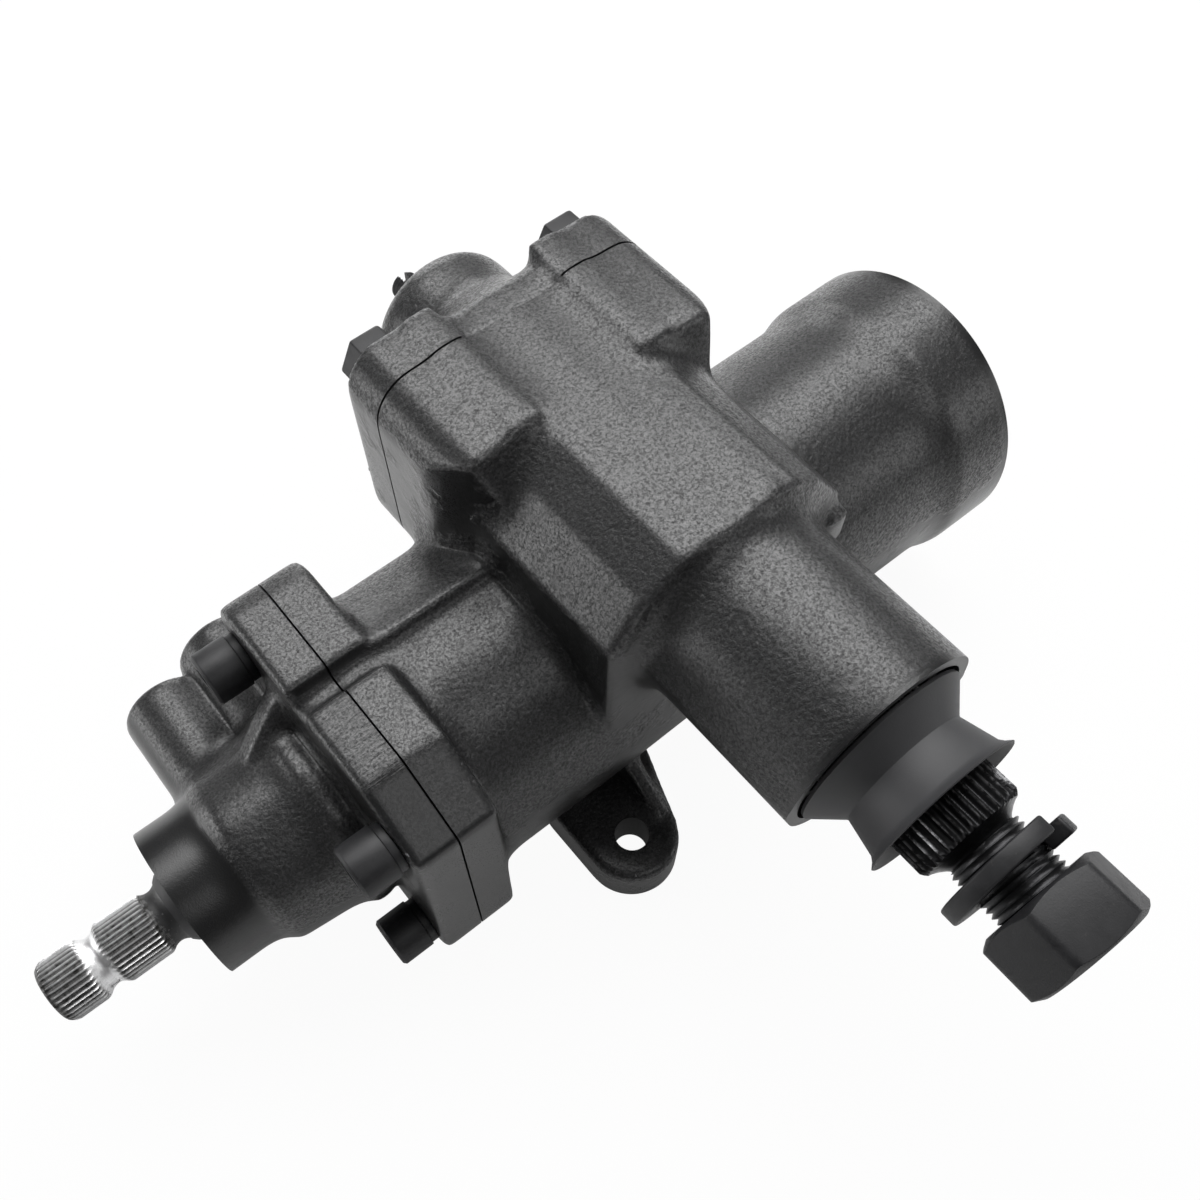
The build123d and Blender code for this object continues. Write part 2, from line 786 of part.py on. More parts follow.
# Cast side cover with the dome over the lash adjuster
with BuildPart() as side_cover:
    with BuildSketch(across_sector(cover_seam_y)):
        add(cover_face)
    extrude(amount=cover_seam_y - cover_lobe_y)
    with BuildSketch(sector_section):
        with BuildLine():
            Polyline(
                (dome_cone_start_y, chamber_top),
                (cover_lobe_y + 1, dome_radius),
                (cover_lobe_y + 1, cover_ridge_top),
                (dome_cone_start_y, cover_ridge_top),
                close=True,
            )
        make_face()
    extrude(amount=cover_panel_half_width, both=True, mode=Mode.SUBTRACT)
    with BuildSketch(sector_section):
        with BuildLine():
            Line((cover_hub_start_y, 0), (cover_hub_start_y, cover_hub_radius))
            Line((cover_hub_start_y, cover_hub_radius), (cover_seam_y - cover_pilot_depth, cover_hub_radius))
            Line(
                (cover_seam_y - cover_pilot_depth, cover_hub_radius),
                (cover_seam_y - cover_pilot_depth, chamber_bore_radius - running_gap),
            )
            Line(
                (cover_seam_y - cover_pilot_depth, chamber_bore_radius - running_gap),
                (dome_cone_start_y, chamber_bore_radius - running_gap),
            )
            Line((dome_cone_start_y, chamber_bore_radius - running_gap), (dome_foot_y, dome_radius))
            Line((dome_foot_y, dome_radius), (dome_end_y - dome_corner, dome_radius))
            RadiusArc(
                (dome_end_y - dome_corner, dome_radius), (dome_end_y, dome_radius - dome_corner), dome_corner
            )
            Line((dome_end_y, dome_radius - dome_corner), (dome_end_y, 0))
            Line((dome_end_y, 0), (cover_hub_start_y, 0))
        make_face()
    revolve(axis=sector_axis)
    with BuildSketch(sector_section):
        band(cover_hub_start_y - 1, cover_cavity_end_y, 0, bushing_outer_radius + seat_gap)
        band(cover_cavity_end_y - 1, dome_end_y + 1, 0, adjuster_radius + thread_gap)
        band(
            cover_seal_y - cord_radius - seat_gap,
            cover_seal_y + cord_radius + seat_gap,
            chamber_bore_radius - 2 * cord_radius - seat_gap,
            chamber_bore_radius + running_gap,
        )
    revolve(axis=sector_axis, mode=Mode.SUBTRACT)
    with BuildSketch(across_sector(cover_lobe_y + 1)):
        with GridLocations(2 * cover_bolt_x, 2 * cover_bolt_z, 2, 2):
            Circle(cover_bolt_radius + thread_gap)
    extrude(amount=cover_lobe_y - cover_seam_y + 2, mode=Mode.SUBTRACT)
side_cover.part.label = "side_cover"
export_step(side_cover.part, "parts/side_cover.step")

# Sector shaft with its teeth, arm serrations and thread
tooth_face = sector_tooth()
with BuildPart() as sector_shaft:
    with BuildSketch(sector_section):
        band(sector_width / 2, shaft_top_y - shaft_chamfer, 0, upper_journal_radius)
        band(sector_width / 2, shaft_top_y, 0, upper_journal_radius - shaft_chamfer)
        band(-sector_width / 2, sector_width / 2, 0, root_radius)
        band(serration_start_y, -sector_width / 2, 0, journal_radius)
        band(neck_end_y, serration_end_y, 0, neck_radius)
        band(shaft_bottom_y + shaft_chamfer, neck_end_y, 0, arm_thread_radius)
        band(shaft_bottom_y, neck_end_y, 0, arm_thread_radius - shaft_chamfer)
    revolve(axis=sector_axis)
    with BuildSketch(across_sector(sector_width / 2)):
        for tooth in range(sector_teeth):
            turn = (tooth - (sector_teeth - 1) / 2) * 360 / full_circle_teeth
            add(tooth_face, rotation=turn)
    extrude(amount=sector_width)
    with BuildSketch(across_sector(serration_start_y)):
        with BuildLine():
            Polyline(*serrated_points(serration_count, serration_radius, serration_depth), close=True)
        make_face()
    extrude(amount=serration_start_y - serration_end_y)
    with BuildSketch(sector_section):
        band(shaft_top_y - adjuster_pocket_depth, shaft_top_y + 1, 0, adjuster_head_radius + loose_gap)
    revolve(axis=sector_axis, mode=Mode.SUBTRACT)
sector_shaft.part.label = "sector_shaft"
export_step(sector_shaft.part, "parts/sector_shaft.step")

# Nut that holds the steering arm
with BuildPart() as arm_nut:
    with BuildSketch(across_sector(nut_start_y)):
        RegularPolygon(nut_across_flats / 2, 6, major_radius=False, rotation=90 - nut_turn)
    extrude(amount=nut_start_y - nut_end_y)
    with BuildSketch(sector_section):
        with BuildLine():
            Polyline(
                (nut_end_y, 0),
                (nut_end_y, nut_across_flats / 2 - nut_corner_margin),
                (nut_end_y + nut_chamfer, nut_corner_radius - nut_corner_margin),
                (nut_start_y - nut_chamfer, nut_corner_radius - nut_corner_margin),
                (nut_start_y, nut_across_flats / 2 - nut_corner_margin),
                (nut_start_y, 0),
                close=True,
            )
        make_face()
    revolve(axis=sector_axis, mode=Mode.INTERSECT)
    with BuildSketch(across_sector(nut_start_y + 1)):
        Circle(arm_thread_radius + thread_gap)
    extrude(amount=nut_start_y - nut_end_y + 2, mode=Mode.SUBTRACT)
arm_nut.part.label = "arm_nut"
export_step(arm_nut.part, "parts/arm_nut.step")

# Split spring washer that sits under the arm nut
washer_path = Pos(0, washer_y, sector_z) * Helix(
    pitch=washer_pitch,
    height=washer_pitch * washer_turn_share,
    radius=(washer_inner_radius + washer_outer_radius) / 2,
    direction=(0, -1, 0),
)
with BuildPart() as arm_lock_washer:
    with BuildSketch(Plane(origin=washer_path @ 0, x_dir=(0, 1, 0), z_dir=washer_path % 0)):
        Rectangle(washer_thickness, washer_outer_radius - washer_inner_radius)
    sweep(path=washer_path, is_frenet=True)
arm_lock_washer.part.label = "arm_lock_washer"
export_step(arm_lock_washer.part, "parts/arm_lock_washer.step")

# Thread cap that holds the adjuster's head in the sector shaft
with BuildPart() as adjuster_retainer:
    with BuildSketch(sector_section):
        band(
            retainer_y,
            retainer_y + retainer_height,
            adjuster_radius + loose_gap,
            adjuster_head_radius + loose_gap - seat_gap,
        )
    revolve(axis=sector_axis)
adjuster_retainer.part.label = "adjuster_retainer"
export_step(adjuster_retainer.part, "parts/adjuster_retainer.step")

# Lash adjuster screw with its slotted tip
with BuildPart() as adjuster_screw:
    with BuildSketch(sector_section):
        band(adjuster_head_y, adjuster_head_y + adjuster_head_height, 0, adjuster_head_radius)
        band(adjuster_head_y, adjuster_tip_y - shaft_chamfer, 0, adjuster_radius)
        band(adjuster_head_y, adjuster_tip_y, 0, adjuster_radius - shaft_chamfer)
    revolve(axis=sector_axis)
    with BuildSketch(across_sector(adjuster_tip_y)):
        Rectangle(adjuster_slot_width, 3 * adjuster_radius)
    extrude(amount=adjuster_slot_depth, mode=Mode.SUBTRACT)
adjuster_screw.part.label = "adjuster_screw"
export_step(adjuster_screw.part, "parts/adjuster_screw.step")

# Jam nut that locks the lash adjuster
with BuildPart() as adjuster_locknut:
    with BuildSketch(across_sector(dome_end_y + seat_gap)):
        RegularPolygon(locknut_across_flats / 2, 6, major_radius=False)
    extrude(amount=-locknut_height)
    with BuildSketch(sector_section):
        with BuildLine():
            Polyline(
                (dome_end_y, 0),
                (dome_end_y, locknut_corner_radius),
                (dome_end_y + locknut_height - locknut_cone, locknut_corner_radius),
                (dome_end_y + locknut_height + seat_gap, locknut_corner_radius - locknut_cone),
                (dome_end_y + locknut_height + seat_gap, 0),
                close=True,
            )
        make_face()
    revolve(axis=sector_axis, mode=Mode.INTERSECT)
    with BuildSketch(across_sector(dome_end_y - 1)):
        Circle(adjuster_radius + running_gap)
    extrude(amount=-locknut_height - 2, mode=Mode.SUBTRACT)
adjuster_locknut.part.label = "adjuster_locknut"
export_step(adjuster_locknut.part, "parts/adjuster_locknut.step")

# Bearings and seals around the sector shaft: start, end, inner and outer radius
sector_rings = {
    "sector_needle_bearing": (
        needle_start_y - needle_length,
        needle_start_y,
        shaft_hole_radius,
        needle_outer_radius - seat_gap,
    ),
    "side_cover_bushing": (
        cover_hub_start_y + 1,
        cover_hub_start_y + 1 + bushing_length,
        upper_journal_radius + running_gap,
        bushing_outer_radius,
    ),
    "sector_oil_seal": (
        first_seal_y - lip_seal_length,
        first_seal_y,
        shaft_hole_radius,
        seal_bore_radius - seat_gap,
    ),
    "seal_backup_washer": (
        backup_y - backup_washer_length,
        backup_y,
        shaft_hole_radius,
        seal_bore_radius - seat_gap,
    ),
    "sector_outer_seal": (
        second_seal_y - second_seal_length,
        second_seal_y,
        shaft_hole_radius,
        seal_bore_radius - seat_gap,
    ),
    "seal_retaining_ring": (
        seal_ring_y - seal_ring_thickness / 2,
        seal_ring_y + seal_ring_thickness / 2,
        seal_bore_radius + seal_ring_depth - seal_ring_width,
        seal_bore_radius + seal_ring_depth,
    ),
}
for ring_name, ring_sizes in sector_rings.items():
    with BuildPart() as sector_ring:
        with BuildSketch(sector_section):
            band(*ring_sizes)
        revolve(axis=sector_axis)
    sector_ring.part.label = ring_name
    export_step(sector_ring.part, f"parts/{ring_name}.step")

# Flared dust seal around the shaft's arm end
dust_seal_hole = journal_radius + loose_gap
with BuildPart() as sector_dust_seal:
    with BuildSketch(sector_section):
        with BuildLine():
            Polyline(
                (dust_seal_start_y, dust_seal_hole),
                (dust_seal_start_y, seal_bore_radius - loose_gap),
                (tube_end_y + tube_mouth_depth - seat_gap, seal_bore_radius - loose_gap),
                (tube_end_y + tube_mouth_depth - seat_gap, dust_seal_base_radius + dust_seal_shoulder),
                (tube_end_y - dust_seal_shoulder, dust_seal_base_radius),
                (dust_seal_waist_y, dust_seal_waist_radius),
                (dust_seal_lip_y, dust_seal_lip_radius),
                (dust_seal_lip_y, dust_seal_lip_radius - dust_seal_wall),
                (dust_seal_waist_y, dust_seal_hole),
                close=True,
            )
        make_face()
    revolve(axis=sector_axis)
sector_dust_seal.part.label = "sector_dust_seal"
export_step(sector_dust_seal.part, "parts/sector_dust_seal.step")

# Worm with its ball track, thrust flange and stop socket
worm_track = Pos(0, 0, worm_z) * Helix(
    pitch=lead,
    height=lead * (worm_track_start_turns + worm_track_end_turns),
    radius=ball_circle_radius,
    center=(-lead * (worm_track_start_turns + 0.5), 0, 0),
    direction=(1, 0, 0),
)
with BuildPart() as worm_shaft:
    with BuildSketch(main_section):
        band(worm_hub_x, worm_flange_x, 0, worm_hub_radius)
        band(
            worm_flange_x - worm_flange_thickness / 2,
            worm_flange_x + worm_flange_thickness / 2,
            0,
            worm_flange_radius,
        )
        band(worm_flange_x, worm_thread_start_x, 0, worm_neck_radius)
        band(worm_thread_start_x, worm_end_x, 0, worm_radius)
    revolve(axis=main_axis)
    with BuildSketch(Plane(origin=worm_track @ 0, z_dir=worm_track % 0)):
        Circle(ball_radius + track_gap)
    sweep(path=worm_track, is_frenet=True, mode=Mode.SUBTRACT)
    with BuildSketch(across_worm(worm_hub_x)):
        for turn in (-twist_angle - twist_margin, 0, twist_angle + twist_margin):
            Rectangle(2 * tang_half_length + 2 * running_gap, tang_width + 2 * running_gap, rotation=turn)
        Circle(tang_half_length + 2 * running_gap, mode=Mode.INTERSECT)
    extrude(amount=tang_end_x - worm_hub_x + loose_gap, mode=Mode.SUBTRACT)
    with BuildSketch(main_section):
        band(worm_hub_x, torsion_bar_end_x + loose_gap, 0, torsion_bar_end_radius + running_gap)
    revolve(axis=main_axis, mode=Mode.SUBTRACT)
    with BuildSketch(across_worm(worm_hub_x)):
        with PolarLocations(sleeve_pin_circle, 2, start_angle=90):
            Circle(sleeve_pin_radius + seat_gap)
    extrude(amount=sleeve_pin_length / 2, mode=Mode.SUBTRACT)
worm_shaft.part.label = "worm_shaft"
export_step(worm_shaft.part, "parts/worm_shaft.step")

# Rack piston with its teeth, ball track and guide pocket
half_pitch = tooth_pitch / 2
rack_slope = math.tan(math.radians(pressure_angle))
tip_half = half_pitch / 2 - tooth_reach * rack_slope - backlash / 2
floor_half = half_pitch / 2 - (tooth_reach + tooth_root_gap) * rack_slope
rack_end_x = 1.5 * tooth_pitch + tip_half + rack_end_room
guide_leg_x = circuit_turns * lead / 2
nut_track = Pos(0, 0, worm_z) * Helix(
    pitch=lead,
    height=lead * (circuit_turns + 1),
    radius=ball_circle_radius,
    center=(-lead * (circuit_turns + 1) / 2, 0, 0),
    direction=(1, 0, 0),
)
with BuildPart() as rack_piston:
    with BuildSketch(main_section):
        band(piston_left_x, piston_right_x, 0, bore_radius - running_gap)
    revolve(axis=main_axis)
    with BuildSketch(main_section):
        with BuildLine():
            corners = [(-rack_end_x, bore_radius + 1), (-rack_end_x, rack_tip_height)]
            for gap in (-1, 0, 1):
                middle = gap * tooth_pitch
                corners.append((middle - half_pitch + tip_half, rack_tip_height))
                corners.append((middle - floor_half, rack_floor_height))
                corners.append((middle + floor_half, rack_floor_height))
                corners.append((middle + half_pitch - tip_half, rack_tip_height))
            corners.append((rack_end_x, rack_tip_height))
            corners.append((rack_end_x, bore_radius + 1))
            Polyline(*corners, close=True)
        make_face()
    extrude(amount=bore_radius + 1, both=True, mode=Mode.SUBTRACT)
    with BuildSketch(main_section):
        band(piston_left_x - 1, piston_right_x - piston_plug_length, 0, nut_bore_radius)
        band(piston_right_x - piston_plug_length, piston_right_x + 1, 0, piston_plug_radius + seat_gap)
        band(
            piston_ring_x - piston_ring_width / 2,
            piston_ring_x + piston_ring_width / 2,
            bore_radius - running_gap - piston_ring_depth,
            bore_radius + 1,
        )
    revolve(axis=main_axis, mode=Mode.SUBTRACT)
    with BuildSketch(Plane(origin=nut_track @ 0, z_dir=nut_track % 0)):
        Circle(ball_radius + track_gap)
    sweep(path=nut_track, is_frenet=True, mode=Mode.SUBTRACT)
    with BuildSketch(Plane.XY.offset(worm_z - guide_pocket_depth)):
        RectangleRounded(guide_pocket_length, guide_pocket_width, guide_pocket_corner)
    extrude(amount=-bore_radius, mode=Mode.SUBTRACT)
    with BuildSketch(Plane.XY.offset(worm_z - guide_pocket_depth - 1)):
        with Locations((-guide_leg_x, 0), (guide_leg_x, 0)):
            Circle(guide_radius + seat_gap)
    extrude(amount=guide_pocket_depth + 1 - ball_circle_radius, mode=Mode.SUBTRACT)
    with BuildSketch(Plane.XY.offset(worm_z - guide_pocket_depth - 1)):
        with Locations((0, -clamp_screw_y), (0, clamp_screw_y)):
            Circle(clamp_screw_radius + seat_gap)
    extrude(amount=clamp_screw_reach + 1, mode=Mode.SUBTRACT)
rack_piston.part.label = "rack_piston"
export_step(rack_piston.part, "parts/rack_piston.step")

# Balls that run in the track and come back through the guide
guide_top = worm_z - nut_bore_radius - guide_end_room
with BuildLine() as guide_path:
    FilletPolyline(
        (-guide_leg_x, 0, guide_top),
        (-guide_leg_x, 0, worm_z - guide_depth),
        (guide_leg_x, 0, worm_z - guide_depth),
        (guide_leg_x, 0, guide_top),
        radius=guide_bend_radius,
    )
with BuildPart() as ball_set:
    for ball in range(balls_in_track + 1):
        share = ball / balls_in_track
        angle = 2 * math.pi * circuit_turns * (share - 0.5)
        place = (
            lead * circuit_turns * (share - 0.5),
            ball_circle_radius * math.sin(angle),
            worm_z - ball_circle_radius * math.cos(angle),
        )
        with Locations(place):
            Sphere(ball_radius)
    for ball in range(balls_in_guide):
        share = (ball + 1) / (balls_in_guide + 1)
        with Locations(guide_path.line @ share):
            Sphere(ball_radius)
ball_set.part.label = "recirculating_balls"
export_step(ball_set.part, "parts/recirculating_balls.step")

# Tube that returns the balls from one end of the track to the other
with BuildPart() as ball_return_guide:
    with BuildSketch(Plane(origin=guide_path.line @ 0, z_dir=guide_path.line % 0)):
        Circle(guide_radius)
        Circle(guide_bore_radius, mode=Mode.SUBTRACT)
    sweep(path=guide_path.line)
ball_return_guide.part.label = "ball_return_guide"
export_step(ball_return_guide.part, "parts/ball_return_guide.step")

# Strap that holds the return guide in its pocket
strap_floor = -guide_pocket_depth - seat_gap
arch_top = -guide_depth - guide_radius - seat_gap
arch_half = guide_radius + seat_gap
with BuildPart() as guide_clamp:
    with BuildSketch(across_worm(-clamp_length / 2)):
        with BuildLine():
            Polyline(
                (-clamp_foot, strap_floor),
                (-clamp_foot, strap_floor - clamp_wall),
                (-arch_half - clamp_wall, strap_floor - clamp_wall),
                (-arch_half - clamp_wall, arch_top - clamp_wall),
                (arch_half + clamp_wall, arch_top - clamp_wall),
                (arch_half + clamp_wall, strap_floor - clamp_wall),
                (clamp_foot, strap_floor - clamp_wall),
                (clamp_foot, strap_floor),
                (arch_half, strap_floor),
                (arch_half, arch_top),
                (-arch_half, arch_top),
                (-arch_half, strap_floor),
                close=True,
            )
        make_face()
    extrude(amount=clamp_length)
    with BuildSketch(Plane.XY.offset(worm_z)):
        with Locations((0, -clamp_screw_y), (0, clamp_screw_y)):
            Circle(clamp_screw_radius + seat_gap)
    extrude(amount=-bore_radius, mode=Mode.SUBTRACT)
guide_clamp.part.label = "guide_clamp"
export_step(guide_clamp.part, "parts/guide_clamp.step")

# Screws of the guide's strap
clamp_face_z = worm_z + strap_floor - clamp_wall - seat_gap
with BuildPart() as guide_clamp_screws:
    with BuildSketch(Plane.XY.offset(clamp_face_z)):
        with Locations((0, -clamp_screw_y), (0, clamp_screw_y)):
            Circle(clamp_screw_radius)
    extrude(amount=clamp_wall + clamp_screw_reach - seat_gap)
    with BuildSketch(Plane.XY.offset(clamp_face_z)):
        with Locations((0, -clamp_screw_y), (0, clamp_screw_y)):
            Circle(clamp_screw_head_radius)
    extrude(amount=-clamp_screw_head_height)
guide_clamp_screws.part.label = "guide_clamp_screws"
export_step(guide_clamp_screws.part, "parts/guide_clamp_screws.step")

# Input shaft with its two splines, spool and stop tang
input_spline = serrated_points(input_spline_count, input_spline_radius, input_spline_depth)
with BuildPart() as input_shaft:
    with BuildSketch(main_section):
        with BuildLine():
            Polyline(
                (outer_spline_end_x - spline_run_out, 0),
                (outer_spline_end_x - spline_run_out, spline_root_radius),
                (outer_spline_end_x, spline_root_radius),
                (outer_spline_end_x + spline_run_out, waist_radius),
                (waist_end_x - spline_run_out, waist_radius),
                (waist_end_x, spline_root_radius),
                (waist_end_x + spline_run_out, spline_root_radius),
                (waist_end_x + spline_run_out, input_neck_radius),
                (input_neck_end_x, input_neck_radius),
                (neck_end_x, seal_journal_radius),
                (seal_journal_end_x, seal_journal_radius),
                (seal_journal_end_x + spline_run_out, spool_radius),
                (spool_end_x, spool_radius),
                (spool_end_x, tang_neck_radius),
                (worm_hub_x - loose_gap, tang_neck_radius),
                (worm_hub_x - loose_gap, 0),
                close=True,
            )
        make_face()
    revolve(axis=main_axis)
    with BuildSketch(across_worm(input_tip_x)):
        with BuildLine():
            Polyline(*input_spline, close=True)
        make_face()
    extrude(amount=outer_spline_end_x - input_tip_x)
    with BuildSketch(across_worm(waist_end_x)):
        with BuildLine():
            Polyline(*input_spline, close=True)
        make_face()
    extrude(amount=inner_spline_end_x - waist_end_x)
    with BuildSketch(across_worm(worm_hub_x - 1)):
        Rectangle(2 * tang_half_length, tang_width)
        Circle(tang_half_length, mode=Mode.INTERSECT)
    extrude(amount=tang_end_x - worm_hub_x + 1)
    with BuildSketch(across_worm(sleeve_start_x + spool_slot_width)):
        with PolarLocations(spool_radius, spool_slot_count):
            Rectangle(2 * spool_slot_depth, spool_slot_width)
    extrude(amount=spool_end_x - sleeve_start_x - 2 * spool_slot_width, mode=Mode.SUBTRACT)
    with BuildSketch(main_section):
        band(bar_start_x - loose_gap, tang_end_x + 1, 0, torsion_bar_end_radius + seat_gap)
    revolve(axis=main_axis, mode=Mode.SUBTRACT)
    with BuildSketch(main_section):
        with Locations((pin_x, 0)):
            Circle(pin_radius + seat_gap)
    extrude(amount=waist_radius + 1, both=True, mode=Mode.SUBTRACT)
input_shaft.part.label = "input_shaft"
export_step(input_shaft.part, "parts/input_shaft.step")

# Torsion bar that centres the valve
with BuildPart() as torsion_bar:
    with BuildSketch(main_section):
        band(bar_start_x, bar_start_x + torsion_bar_end_length, 0, torsion_bar_end_radius)
        band(bar_start_x, torsion_bar_end_x, 0, torsion_bar_radius)
        band(torsion_bar_end_x - torsion_bar_end_length, torsion_bar_end_x, 0, torsion_bar_end_radius)
    revolve(axis=main_axis)
    with BuildSketch(main_section):
        with Locations((pin_x, 0)):
            Circle(pin_radius + seat_gap)
    extrude(amount=waist_radius + 1, both=True, mode=Mode.SUBTRACT)
torsion_bar.part.label = "torsion_bar"
export_step(torsion_bar.part, "parts/torsion_bar.step")

# Cross pin that locks the torsion bar in the input shaft
with BuildPart() as torsion_bar_pin:
    with BuildSketch(main_section):
        with Locations((pin_x, 0)):
            Circle(pin_radius)
    extrude(amount=waist_radius - pin_end_inset, both=True)
torsion_bar_pin.part.label = "torsion_bar_pin"
export_step(torsion_bar_pin.part, "parts/torsion_bar_pin.step")

# Valve sleeve that turns with the worm around the spool
ring_step = (sleeve_end_x - sleeve_start_x - 2 * sleeve_end_land) / (sleeve_ring_count - 1)
ring_places = [sleeve_start_x + sleeve_end_land + ring_step * ring for ring in range(sleeve_ring_count)]
with BuildPart() as valve_sleeve:
    with BuildSketch(main_section):
        band(sleeve_start_x, sleeve_end_x, spool_radius + running_gap, sleeve_radius)
        band(sleeve_end_x - sleeve_lip_length, sleeve_end_x, tang_half_length + loose_gap, sleeve_radius)
        for place in ring_places:
            with Locations((place, sleeve_radius)):
                Rectangle(sleeve_ring_width + 2 * seat_gap, 2 * sleeve_ring_depth, mode=Mode.SUBTRACT)
        for place in ring_places[:-1]:
            with Locations((place + ring_step / 2, sleeve_radius)):
                Rectangle(sleeve_groove_width, 2 * sleeve_ring_depth + 1, mode=Mode.SUBTRACT)
    revolve(axis=main_axis)
    with BuildSketch(across_worm(sleeve_end_x)):
        with PolarLocations(sleeve_pin_circle, 2, start_angle=90):
            Circle(sleeve_pin_radius + seat_gap)
    extrude(amount=-sleeve_pin_length / 2, mode=Mode.SUBTRACT)
valve_sleeve.part.label = "valve_sleeve"
export_step(valve_sleeve.part, "parts/valve_sleeve.step")

# Rings that seal the sleeve's lands
with BuildPart() as valve_sleeve_rings:
    with BuildSketch(main_section):
        for place in ring_places:
            band(
                place - sleeve_ring_width / 2,
                place + sleeve_ring_width / 2,
                sleeve_radius - sleeve_ring_depth + seat_gap,
                valve_bore_radius - running_gap,
            )
    revolve(axis=main_axis)
valve_sleeve_rings.part.label = "valve_sleeve_rings"
export_step(valve_sleeve_rings.part, "parts/valve_sleeve_rings.step")

# Pins that drive the sleeve from the worm's hub
with BuildPart() as valve_sleeve_pins:
    with BuildSketch(across_worm(worm_hub_x - sleeve_pin_length / 2 + seat_gap)):
        with PolarLocations(sleeve_pin_circle, 2, start_angle=90):
            Circle(sleeve_pin_radius)
    extrude(amount=sleeve_pin_length - 4 * seat_gap)
valve_sleeve_pins.part.label = "valve_sleeve_pins"
export_step(valve_sleeve_pins.part, "parts/valve_sleeve_pins.step")

# Thrust bearings on both faces of the worm's flange
thrust_gap = (thrust_room - 2 * thrust_race_thickness - 2 * thrust_roller_radius) / 4
front_race_x = thrust_bore_front_x + thrust_gap
back_race_x = worm_flange_x + worm_flange_thickness / 2 + thrust_gap
roller_offset = thrust_race_thickness + thrust_gap + thrust_roller_radius
with BuildPart() as thrust_races:
    with BuildSketch(main_section):
        for race_x in (front_race_x, back_race_x):
            far_race_x = race_x + roller_offset + thrust_roller_radius + thrust_gap
            band(race_x, race_x + thrust_race_thickness, thrust_inner_radius, thrust_outer_radius)
            band(far_race_x, far_race_x + thrust_race_thickness, thrust_inner_radius, thrust_outer_radius)
    revolve(axis=main_axis)
thrust_races.part.label = "worm_thrust_races"
export_step(thrust_races.part, "parts/worm_thrust_races.step")

with BuildPart() as thrust_rollers:
    for roller in range(thrust_roller_count):
        angle = 360 * roller / thrust_roller_count
        roller_plane = Plane(
            origin=(0, 0, worm_z),
            x_dir=(1, 0, 0),
            z_dir=(0, math.cos(math.radians(angle)), math.sin(math.radians(angle))),
        )
        with BuildSketch(roller_plane.offset(thrust_inner_radius + thrust_roller_inset)):
            with Locations((front_race_x + roller_offset, 0), (back_race_x + roller_offset, 0)):
                Circle(thrust_roller_radius)
        extrude(amount=thrust_outer_radius - thrust_inner_radius - 2 * thrust_roller_inset)
thrust_rollers.part.label = "worm_thrust_rollers"
export_step(thrust_rollers.part, "parts/worm_thrust_rollers.step")

# Rings on the main axis: start, end, inner and outer radius
input_hole = seal_journal_radius + running_gap
input_ring_radius = needle_input_radius - seat_gap
needle_front_x = valve_bore_start_x - needle_input_length
input_seal_x = needle_front_x - input_seal_length - seat_gap
input_ring_x = input_seal_x - input_ring_thickness - seat_gap
bore_seal_x = end_cap_seat_x + end_cap_thickness / 2
main_rings = {
    "input_needle_bearing": (needle_front_x, valve_bore_start_x, input_hole, input_ring_radius),
    "input_oil_seal": (input_seal_x, input_seal_x + input_seal_length, input_hole, input_ring_radius),
    "input_seal_ring": (
        input_ring_x,
        input_ring_x + input_ring_thickness,
        input_ring_radius - input_ring_width,
        input_ring_radius,
    ),
    "input_dust_seal": (neck_end_x + loose_gap, input_ring_x - seat_gap, input_hole, input_ring_radius),
    "piston_ring": (
        piston_ring_x - piston_ring_width / 2 + seat_gap,
        piston_ring_x + piston_ring_width / 2 - seat_gap,
        bore_radius - running_gap - piston_ring_depth + seat_gap,
        bore_radius - running_gap / 2,
    ),
    "end_cap_retaining_ring": (
        retaining_ring_x + seat_gap,
        retaining_ring_x + seat_gap + end_ring_thickness,
        end_cap_bore_radius + end_ring_depth - end_ring_width,
        end_cap_bore_radius + end_ring_depth - seat_gap,
    ),
}
for ring_name, ring_sizes in main_rings.items():
    with BuildPart() as main_ring:
        with BuildSketch(main_section):
            band(*ring_sizes)
        revolve(axis=main_axis)
    main_ring.part.label = ring_name
    export_step(main_ring.part, f"parts/{ring_name}.step")

# Plug that closes the rack piston
with BuildPart() as piston_plug:
    with BuildSketch(across_worm(piston_right_x)):
        Circle(piston_plug_radius)
    extrude(amount=seat_gap - piston_plug_length)
    with BuildSketch(across_worm(piston_right_x)):
        Rectangle(plug_socket_width, plug_socket_width)
    extrude(amount=-plug_socket_depth, mode=Mode.SUBTRACT)
piston_plug.part.label = "piston_plug"
export_step(piston_plug.part, "parts/piston_plug.step")

# Cap that closes the big cylinder
with BuildPart() as end_cap:
    with BuildSketch(main_section):
        band(end_cap_seat_x, end_cap_outer_x, 0, end_cap_bore_radius - seat_gap)
        band(
            end_cap_outer_x - end_cap_dish_depth,
            end_cap_outer_x + 1,
            0,
            end_cap_dish_radius,
            mode=Mode.SUBTRACT,
        )
        band(
            bore_seal_x - cord_radius - seat_gap,
            bore_seal_x + cord_radius + seat_gap,
            end_cap_bore_radius - 2 * cord_radius - seat_gap,
            end_cap_bore_radius + 1,
            mode=Mode.SUBTRACT,
        )
    revolve(axis=main_axis)
end_cap.part.label = "end_cap"
export_step(end_cap.part, "parts/end_cap.step")

